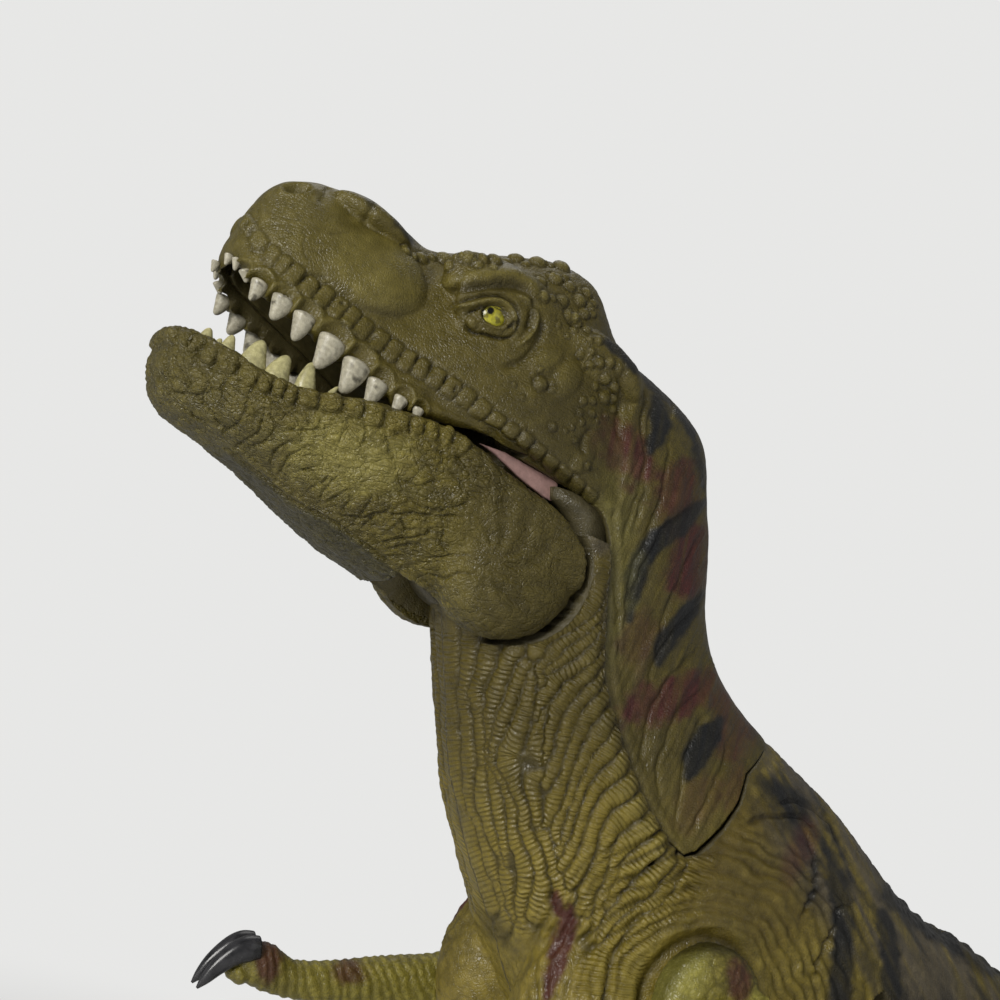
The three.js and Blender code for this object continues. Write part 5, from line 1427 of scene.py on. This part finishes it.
def eyes(tree):
    place, normal = seen_at(tree, *EYE_PIXEL)
    for side, hand in (("left", -1), ("right", 1)):
        centre = (place - normal * EYE_DEPTH) * np.array([1, 1 if hand < 0 else -1, 1])
        obj = ball(centre, (EYE_RADIUS, EYE_RADIUS, EYE_RADIUS), 0, 48)
        p = points_of(obj)
        uv = photo(p)
        away = np.hypot(*(uv - EYE_PIXEL).T)
        iris = np.broadcast_to(colour(174, 169, 52), (len(p), 3))
        iris = mixed(iris, (104, 98, 34), smooth(-0.3, 0.5, noise(flat3(uv), 2.4, 141, 2)))
        # painted shade from the upper lid over the top of the iris
        iris = mixed(iris, (124, 118, 44), 0.6 * smooth(4, -5, uv[:, 1] - EYE_PIXEL[1]))
        iris = mixed(iris, (40, 36, 16), smooth(9.5, 13, away))
        pupil = np.hypot(*(uv - PUPIL).T)
        coloured(obj, mixed(iris, (14, 13, 10), 1 - smooth(3.0, 4.3, pupil)))
        finished(obj, f"{side}_eye", "head", EYE_GLOSS, "hide")


# Base and tip of each tooth, and its width, read off the enlarged snout.
UPPER_TEETH = listed("""
    262,542,236,602,48 300,560,284,630,50 338,620,346,694,60 430,682,366,787,92 552,768,476,886,116
    664,850,590,997,116 815,978,705,1141,146 940,1098,841,1274,146 1046,1200,971,1337,112
    1166,1290,1109,1374,78 1251,1345,1221,1414,60""")
LOWER_TEETH = listed("""
    128,1012,158,930,84 192,1034,215,985,50 238,1072,278,967,88 372,1140,436,996,142 498,1200,568,1076,134
    652,1245,693,1110,104 775,1296,826,1238,44""")


def tooth_solid(root, tip, width, sink, sides=20, rows=14):
    """A thick blunt cone, a little curved, with a rounded root set in the gum."""
    way = tip - root
    length = np.linalg.norm(way)
    way = way / length
    side = np.cross(way, (0, 1, 0))
    side /= np.linalg.norm(side)
    depth = np.cross(side, way)
    angle = 2 * np.pi * np.arange(sides) / sides
    rings = []
    buried = -sink / length * np.array([1, 0.97, 0.88, 0.7, 0.45, 0.2])
    for t in np.concatenate([buried, np.linspace(0, 0.9, rows), [0.95, 0.98, 1.0]]):
        s = max(t, 0)
        r = width / 2 * (1 - 0.72 * s ** 1.3) * math.sqrt(max(1 - max(s - 0.84, 0) ** 2 / 0.0258, 0.004))
        r *= math.sqrt(max(1 - (max(-t, 0) * length / sink) ** 2, 0.004))
        middle = root + way * length * t + side * (0.04 * width * math.sin(math.pi * min(s, 1)))
        rings.append(middle + r * (np.outer(np.cos(angle), side) + 0.8 * np.outer(np.sin(angle), depth)))
    return lofted(np.array(rings))


def teeth(name, table, rows, length, half, inset, body, tint, sink):
    shares = np.array(rows)
    made_teeth = []
    for bx, by, tx, ty, width in table:
        (u0, v0), (u1, v1) = seen_in(SNOUT_VIEW, [(bx, by), (tx, ty)])
        y = -12.0
        for _ in range(6):
            root = at(u0, v0, y)
            tilt = HEAD_TILT if body == "head" else 0
            ahead = -root[0] * math.cos(tilt) + root[2] * math.sin(tilt)
            y = -max(np.interp(ahead / length, shares[:, 0], shares[:, 3]) * half - inset, 1.6)
        tip = at(u1, v1, y - 0.1)
        wide = width / SNOUT_VIEW[2] / PIXELS
        if body == "head":
            root = root + 0.17 * (tip - root)
        made_teeth.append(tooth_solid(root, tip, wide, sink * wide))
    near = merged(*made_teeth)
    obj = merged(near, mirrored(near))
    p = points_of(obj)
    groovy = noise(grain_along(p, 60, 3.0), 0.4, 151, 2)
    dirt = 0.6 if body == "head" else 0.25
    shade = mixed(np.broadcast_to(tint, (len(p), 3)), tint * 0.6, smooth(0.0, 0.6, groovy) * dirt)
    pits = smooth(0.55, 0.72, noise(p, 0.8, 153))
    shade = mixed(shade, TOOTH_PIT, pits * dirt * 1.3)
    coloured(obj, shade)
    return finished(obj, name, body, ENAMEL, "hide")


def mouth_lining():
    """Insert in the roof of the mouth with a skirt down each side, and the pink folds at its corners."""
    def trough(inset, low, high, start, end):
        return head_trough(inset, low, high, start, end, 48)
    top = PALATE_RISE - SEAT
    plate = trough(HEAD_WALL + SEAT, -PALATE_RISE, top, 0.2, 0.92)
    plate = cut(plate, trough(HEAD_WALL + SEAT + LINING_WALL, -2 * PALATE_RISE, top - LINING_ROOF, 0, 0.95),
                trough(-OVER, -2 * PALATE_RISE, 0.5, -0.3, 0.98))
    p = points_of(plate)
    coloured(plate, np.broadcast_to(GUM_DARK, (len(p), 3)) * (1 + 0.3 * noise(p, 3, 161))[:, None])
    finished(plate, "mouth_lining", "head", GUM, "throat", "mouth_roof")
    for side, hand in (("left", -1), ("right", 1)):
        near = [at(u, v, -FOLD_OUTER) for u, v in CHEEK_FOLD]
        fold = slab([(q[0], q[2]) for q in near], FOLD_INNER, FOLD_OUTER)
        if hand < 0:
            flipped(fold)
        p = points_of(fold)
        coloured(fold, np.broadcast_to(PINK, (len(p), 3)))
        mod = fold.modifiers.new("round", "BEVEL")
        mod.width, mod.segments = 0.25, 3
        baked(fold)
        finished(fold, f"{side}_cheek_fold", "head", GUM, "gum")


# Jaw
def cheek(hand):
    width = JAW_HALF - CHEEK_FACE
    profile = listed(".001,0 1,0 1,.35 .985,.53 .94,.68 .86,.8 .74,.9 .58,.97 .3,1.02 .001,1.03")
    disc = shifted(turned([(r * CHEEK_RADIUS, y * width) for r, y in profile], 96), (0, CHEEK_FACE, 0))
    return flipped(disc) if hand < 0 else disc


def jaw_piece():
    form = merged(lofted(jaw_rings(JAW, 0, 0, 0)), cheek(-1), cheek(1))
    obj = sculpted(remeshed(form, 0.28, 14), jaw_relief)
    rear = CORE_RADIUS + EAR_RADIUS
    bowl = [row for row in JAW if row[0] * JAW_LENGTH > rear / 2 and row[0] < 0.96]
    obj = cut(obj, lofted(jaw_rings(bowl, JAW_WALL + 0.7, JAW_FLOOR + 0.8, JAW_DEPTH)),
              block(-rear, 2 * rear, -CHEEK_FACE, CHEEK_FACE, -JAW_DEPTH * 2, JAW_DEPTH * 2),
              bar(AXLE_RADIUS + TURNING, 0, 0, -AXLE_HALF - SEAT, AXLE_HALF + SEAT))
    finished(painted(obj, jaw_paint, colour(84, 76, 42)), "jaw_skin", "jaw", HIDE, "hide", "lower_jaw")
    teeth("lower_teeth", LOWER_TEETH, JAW, JAW_LENGTH, JAW_HALF, 1.5, "jaw", LOWER_TOOTH, 0.9)


# Torso
def beside_core():
    clear = CHEEK_RADIUS + TURNING + SEAT
    room = bar(clear, 0, 0, EAR_OUT - SEAT, WIDE)
    e = EAR_RADIUS
    slot = slab([(-2 * e, 0), (e + SEAM, 0), (2 * e, e), (2 * e, 5 * e), (-2 * e, 5 * e)],
                CORE_HALF, EAR_OUT + SEAT)
    above = block(-4 * CORE_RADIUS, 1.95 * CORE_RADIUS, CORE_HALF, WIDE, 1.02 * CORE_RADIUS, 4 * CORE_RADIUS)
    return union(room, bar(e + SEAM, 0, 0, CORE_HALF, EAR_OUT + SEAT), slot, above)


def core_cheek():
    """The side of the neck's core that shows behind the corner of the mouth."""
    inner = listed("6.5,11.6 9,11.2 13,9.2 15.9,6.6 17,0 17,-6 10,-8")
    outer = listed("2.4,13.2 5.4,13.5 8.4,13.3 11,12.7 13,11.5 14,10 13.6,5 11.7,-3 10,-6")
    plate = union(slab(inner, 9.3, 12.6), slab(outer, 11, 14.9))
    return cut(plate, bar(CHEEK_RADIUS + TURNING + SEAT, 0, 0, EAR_OUT - SEAT, WIDE))


def arm_socket():
    x, face, z = SHOULDER
    end = face - PEG_LENGTH
    return union(bar(PEG_RADIUS + TURNING, x, z, end, WIDE),
                 bar(PEG_RADIUS + 1 + TURNING, x, z, end - SEAT, end + 2.4 + TURNING),
                 bar(SHOULDER_RADIUS + SEAM, x, z, face, WIDE, 96))


def hip_socket():
    return union(bar(HIP_PEG + TURNING, HIP_BACK, -HIP_DROP, 0, WIDE),
                 bar(WASHER_ROOM, HIP_BACK, -HIP_DROP, -OVER, HIP_WALL),
                 bar(HIP_SWING, HIP_BACK, -HIP_DROP, HIP_FACE - TURNING, WIDE, 128),
                 bar(THIGH_SWING, HIP_BACK, -HIP_DROP - THIGH_BELOW, HIP_FACE - TURNING, WIDE, 128))


BACK_X, BACK_Z, CHEST_X, CHEST_Z = TRUNK[-1][:4]
TAIL_ROOT = np.array([(BACK_X + CHEST_X) / 2 * TRUNK_LENGTH, 0, (BACK_Z + CHEST_Z) / 2 * TRUNK_DROP])
TAIL_LEAN = math.degrees(math.atan2((BACK_X - CHEST_X) * TRUNK_LENGTH, (BACK_Z - CHEST_Z) * TRUNK_DROP))


def tail_peg(gap):
    wide, thin, neck = FLANGE_RADIUS + gap, NECK_RADIUS + gap, FLANGE_NECK + 2 * gap
    peg = turned([(wide, FLANGE_END - gap), (wide, neck), (thin, neck), (thin, NECK_END)], 48)
    p = points_of(peg)
    put_points(peg, np.column_stack([p[:, 1], -p[:, 0], p[:, 2]]))
    return peg


def tail_set(obj, gap=0.0):
    return shifted(turned_about(shifted(obj, (gap, 0, 0)), TAIL_LEAN), TAIL_ROOT)


def travel():
    """The room that the nape shell passes through."""
    return union(*[turned_about(across(grown(SHELL_OUTLINE, SEAM)), a) for a in (0, TRAVEL / 2, TRAVEL)])


def torso_pieces():
    x, y, z, long, wide, high = 0.248, 0.44, -0.60, 0.08, 0.33, 0.165
    chests = [ball((x * TRUNK_LENGTH, h * y * TRUNK_HALF, z * TRUNK_DROP),
                   (long * TRUNK_LENGTH, wide * TRUNK_HALF, high * TRUNK_DROP)) for h in (-1, 1)]
    form = merged(trunk_skin(TRUNK, 0, 0, 0, 0), *chests)
    obj = sculpted(remeshed(form, 0.45, 16), torso_relief)
    obj = cut(obj, across(grown(SHELL_OUTLINE, SEAT)),
              common(travel(), trunk_skin(NECK[1:], SHELL_LIP, 1.3, 1.3, -OVER)))
    inset = SHELL_INSET + SHELL_WALL
    core = trunk_skin(TRUNK, inset + CORE_SIDE, inset + CORE_TOP, SHELL_WALL + CORE_LOW, 1.2)
    obj = union(obj, core)
    obj = union(cut(obj, *besides(beside_core)), *besides(core_cheek))
    obj = union(obj, bar(CORE_RADIUS, 0, 0, -CORE_HALF, CORE_HALF))
    obj = cut(obj, bar(AXLE_RADIUS + SEAT, 0, 0, -WIDE, WIDE), *besides(arm_socket), *besides(hip_socket),
              tail_set(tail_peg(TURNING)))
    for sx, sz in SCREWS:
        sx, sz = sx * TRUNK_LENGTH, sz * TRUNK_DROP
        obj = cut(obj, union(bar(SCREW_RADIUS + SEAT, sx, sz, SCREW_DEPTH - SCREW_LENGTH - SEAT, WIDE, 32),
                             bar(SCREW_HEAD + SEAT, sx, sz, SCREW_DEPTH - SEAT, WIDE, 32)))
    well = turned([(SPRING_RADIUS, SPRING_LOW), (SPRING_RADIUS, SPRING_HIGH)], 32)
    p = points_of(well)
    put_points(well, np.column_stack([p[:, 0] + SPRING_BACK, -p[:, 2], p[:, 1] - SPRING_DROP]))
    obj = cut(obj, well)
    far = 2 * TRUNK_LENGTH
    left = common(copied(obj), block(-far, far, -far, -SEAT / 2, -far, far))
    right = common(obj, block(-far, far, SEAT / 2, far, -far, far))
    for half, side in ((left, "left"), (right, "right")):
        painted(half, torso_paint)
        finished(half, f"torso_{side}_skin", "torso", HIDE, "hide", f"torso_{side}_shell")


# Arms
CLAWS = listed(".84,.71,1.1 .87,.735,1.25 .9,.784,1.12 .935,.884,.85 .958,.983,.52 .972,1.05,.12")


def arm_parts(relief):
    r, h, long = SHOULDER_RADIUS, SHOULDER_THICK, ARM_REACH
    rows = [[-a * long, -f * ARM_FALL, h + l * ARM_LEAN, t * ARM_THICK, t * ARM_THICK * 0.75]
            for a, f, t, l in ARM]
    arm = cut(limb(rows, 48), block(-long * 2, long, -long, 0, -long, long))
    disc = turned([(0.001, 0), (r, 0), (r, h * 0.6), (r * 0.97, h * 0.75), (r * 0.875, h * 0.9),
                   (r * 0.7, h * 1.02), (r / 2, h * 1.1), (r / 4, h * 1.13), (0.001, h * 1.14)], 96)
    pad = ball((-0.862 * long, h + ARM_LEAN / 2, -0.9 * ARM_FALL), (2.3, 2.6, 1.9))
    obj = sculpted(remeshed(merged(arm, disc, pad), 0.28, 12), relief)
    obj = cut(obj, block(-long * 2, long, -long, 0, -long, long))
    p, end = PEG_RADIUS, -PEG_LENGTH
    peg = turned([(p + 0.5, end), (p + 1, end + 1.2), (p, end + 2.4), (p, h / 2)], 48)
    peg = cut(peg, block(-p / 4, p / 4, 2 * end, end / 3, -2 * p, 2 * p))
    claws = []
    for side in (-1, 1):
        rows = [[-a * long, -f * ARM_FALL, h + ARM_LEAN / 2 + side * 1.5, t * 1.7, t * 1.4]
                for a, f, t in CLAWS]
        claws.append(limb(rows, 24))
    return union(obj, peg), merged(*claws)


def arm_pieces():
    for side, hand in (("left", -1), ("right", 1)):
        arm, claws = arm_parts(arm_relief)
        for obj in (arm, claws):
            if hand < 0:
                turned_about(flipped(obj), -LEFT_ARM_TURN)
            shifted(obj, SHOULDER * np.array([1, hand, 1]) + np.array([0, hand * SEAT, 0]))
        finished(painted(arm, arm_paint), f"{side}_arm_skin", f"{side}_arm", HIDE, "hide", f"{side}_arm")
        finished(claws, f"{side}_hand_claws", f"{side}_arm", CLAW, "hide")


# Legs
# Share of the length, half height and half width along a toe, its claw and the pad of the foot.
TOE_ROWS = listed("0,.9,.75 .3,1.25,1.1 .6,.9,.98 .78,.95,1 .88,.6,.7")
TOE_CLAW = listed(".78,.62,.62 .86,.6,.6 .94,.42,.42 1,.16,.16")
FOOT_PAD = listed(".36,.6,.45 .28,.9,.72 .1,1,.95 -.06,.9,1 -.16,.6,.8")


def leg_parts(relief):
    rows = [[b * LEG_LENGTH, -d * LEG_HEIGHT, LEG_MIDDLE + s * THIGH_HALF, t * LEG_LENGTH, w * THIGH_HALF]
            for b, d, t, w, s in LEG]
    heel = LEG[-1][0] * LEG_LENGTH
    parts, claws = [limb(rows, 64, 2.3)], []
    for start, end, side in TOES:
        def toe(steps):
            return [[heel + (start + (end - start) * t) * FOOT_LENGTH - FOOT_LENGTH / 8,
                     -LEG_HEIGHT + high * TOE_RADIUS * 0.8, LEG_MIDDLE + side * FOOT_HALF * (0.25 + 0.75 * t),
                     high * TOE_RADIUS, half * TOE_RADIUS] for t, high, half in steps]
        parts.append(limb(toe(TOE_ROWS), 32, 2.4))
        claws.append(limb(toe(TOE_CLAW), 24))
    pad = [[heel + t * FOOT_LENGTH - FOOT_LENGTH / 8, -LEG_HEIGHT + FOOT_HEIGHT / 2 * high, LEG_MIDDLE,
            FOOT_HEIGHT / 2 * high, half * FOOT_HALF] for t, high, half in FOOT_PAD]
    parts.append(limb(pad, 48, 2.6))
    obj = sculpted(remeshed(merged(*parts), 0.6, 14), relief)
    h, far = LEG_HEIGHT, 2 * LEG_HEIGHT
    obj = cut(obj, block(-h, h, -h, HIP_FACE, -h * 0.7, h), block(-far, far, -h, far, -far, -h))
    obj = union(obj, bar(HIP_PEG, 0, 0, HIP_WALL + SEAT, HIP_FACE + THIGH_HALF / 2))
    obj = cut(obj, bar(HIP_HOLE + SEAT, 0, 0, 0, HIP_WALL + HIP_HOLE_LENGTH + OVER, 32))
    split = LEG_MIDDLE + SEAT
    inner = common(copied(obj), block(-far, far, 0, split - SEAT / 2, -far, far))
    outer = common(obj, block(-far, far, split + SEAT / 2, far, -far, far))
    nails = cut(union(*claws), block(-far, far, -h, far, -far, -h))
    return inner, outer, nails


def leg_pieces():
    inner, outer, nails = leg_parts(limb_relief(11))
    for side, hand in (("left", -1), ("right", 1)):
        body = f"{side}_leg"
        for obj, name in ((inner, f"{body}_inner"), (outer, f"{body}_outer"), (nails, None)):
            one = mirrored(obj) if hand < 0 else copied(obj)
            shifted(one, (HIP_BACK, 0, -HIP_DROP))
            if name:
                finished(painted(one, limb_paint(171)), f"{name}_skin", body, HIDE, "hide", name)
            else:
                finished(one, f"{side}_foot_claws", body, CLAW, "hide")
    for obj in (inner, outer, nails):
        bpy.data.objects.remove(obj)


# Tail
def tail_piece():
    r = between(TAIL, 6)
    none = np.zeros(len(r))
    middle = np.stack([r[:, 0] * TAIL_LENGTH, none, r[:, 1] * TAIL_DROP], 1)
    up = np.stack([none, none, r[:, 2] * TAIL_HEIGHT], 1)
    form = lofted(ring(middle - up, middle + up, r[:, 3] * TAIL_HALF, 0.2, 2.2, 96))
    obj = sculpted(remeshed(form, 0.6, 14), limb_relief(13))
    far = 2 * TAIL_HEIGHT
    obj = cut(obj, block(-far, 0, -far, far, -far, far))
    obj = tail_set(union(obj, tail_peg(0)), TURNING)
    return finished(painted(obj, tail_paint), "tail_skin", "tail", HIDE, "hide", "tail")


# Making
head_piece()
jaw_piece()
torso_pieces()
arm_pieces()
leg_pieces()
tail_piece()

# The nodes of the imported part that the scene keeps.
METAL = ("screw", "washer", "jaw_axle", "return_spring")
for obj in scene.objects:
    if obj.type == "MESH" and obj.name in frame["nodes"]:
        kind = TONGUE if obj.name == "tongue" else STEEL if any(m in obj.name for m in METAL) else HIDE
        for place in obj.material_slots:
            place.material = kind


# Camera, floor and light
lens = bpy.data.cameras.new("camera")
lens.lens, lens.sensor_width, lens.sensor_fit = FOCAL / 1000 * 36, 36, "HORIZONTAL"
lens.clip_start, lens.clip_end = 0.01, 20
scene.camera = placed("camera", lens)
axes = Matrix([IMAGE_RIGHT.tolist(), IMAGE_UP.tolist(), TO_EYE.tolist()]).transposed()
scene.camera.matrix_world = Matrix.Translation(Vector(((EYE + AXLE) * MM).tolist())) @ axes.to_4x4()

FLOOR_HALF, PALE = 3, (0.80, 0.80, 0.79, 1)
ground = bpy.data.meshes.new("floor")
ground.from_pydata([(x * FLOOR_HALF, y * FLOOR_HALF, 0) for x, y in ((-1, -1), (1, -1), (1, 1), (-1, 1))],
                   [], [(0, 1, 2, 3)])
floor = placed("floor", ground)
floor_mat, tree, floor_shader = material("floor")
floor_shader.inputs["Base Color"].default_value = (0.86, 0.86, 0.855, 1)
floor_shader.inputs["Roughness"].default_value = 0.9
floor.data.materials.append(floor_mat)

# Away from the object the floor passes softly into the colour of the background.
away = node(tree, "VectorMath", node(tree, "TexCoord", out="Object"), operation="LENGTH", out="Value")
far = ranged(tree, away, 0.2, 0.42, 0.45, interpolation_type="SMOOTHSTEP")
seen = calculated(tree, "MULTIPLY", far, node(tree, "LightPath", out="Is Camera Ray"))
floor_look = node(tree, "MixShader", seen, floor_shader.outputs[0], node(tree, "Emission", Color=PALE))
tree.links.new(floor_look, tree.nodes["Material Output"].inputs["Surface"])

world = bpy.data.worlds.new("world")
scene.world = world
world.use_nodes = True
tree = world.node_tree
sky = tree.nodes["Background"]
sky.inputs["Color"].default_value = (1, 0.99, 0.96, 1)
sky.inputs["Strength"].default_value = 0.2
backdrop = node(tree, "MixShader", node(tree, "LightPath", out="Is Camera Ray"), sky.outputs[0],
                node(tree, "Background", Color=PALE))
tree.links.new(backdrop, tree.nodes["World Output"].inputs["Surface"])


def lamp(name, place, size, power, tint):
    light = bpy.data.lights.new(name, "AREA")
    light.shape, light.size, light.energy, light.color = "DISK", size, power, tint
    obj = placed(name, light)
    obj.location = place
    obj.rotation_euler = (Vector((-0.1, 0, 0.14)) - Vector(place)).to_track_quat("-Z", "Y").to_euler()


lamp("key", (-0.8, -0.5, 0.34), 0.4, 6.2, (1, 0.98, 0.94))
lamp("fill", (0.35, -0.95, 0.45), 0.7, 0.9, (1, 0.99, 0.97))
lamp("top", (-0.1, 0.45, 0.95), 0.6, 1.3, (1, 0.99, 0.96))

scene.view_settings.view_transform = "Standard"
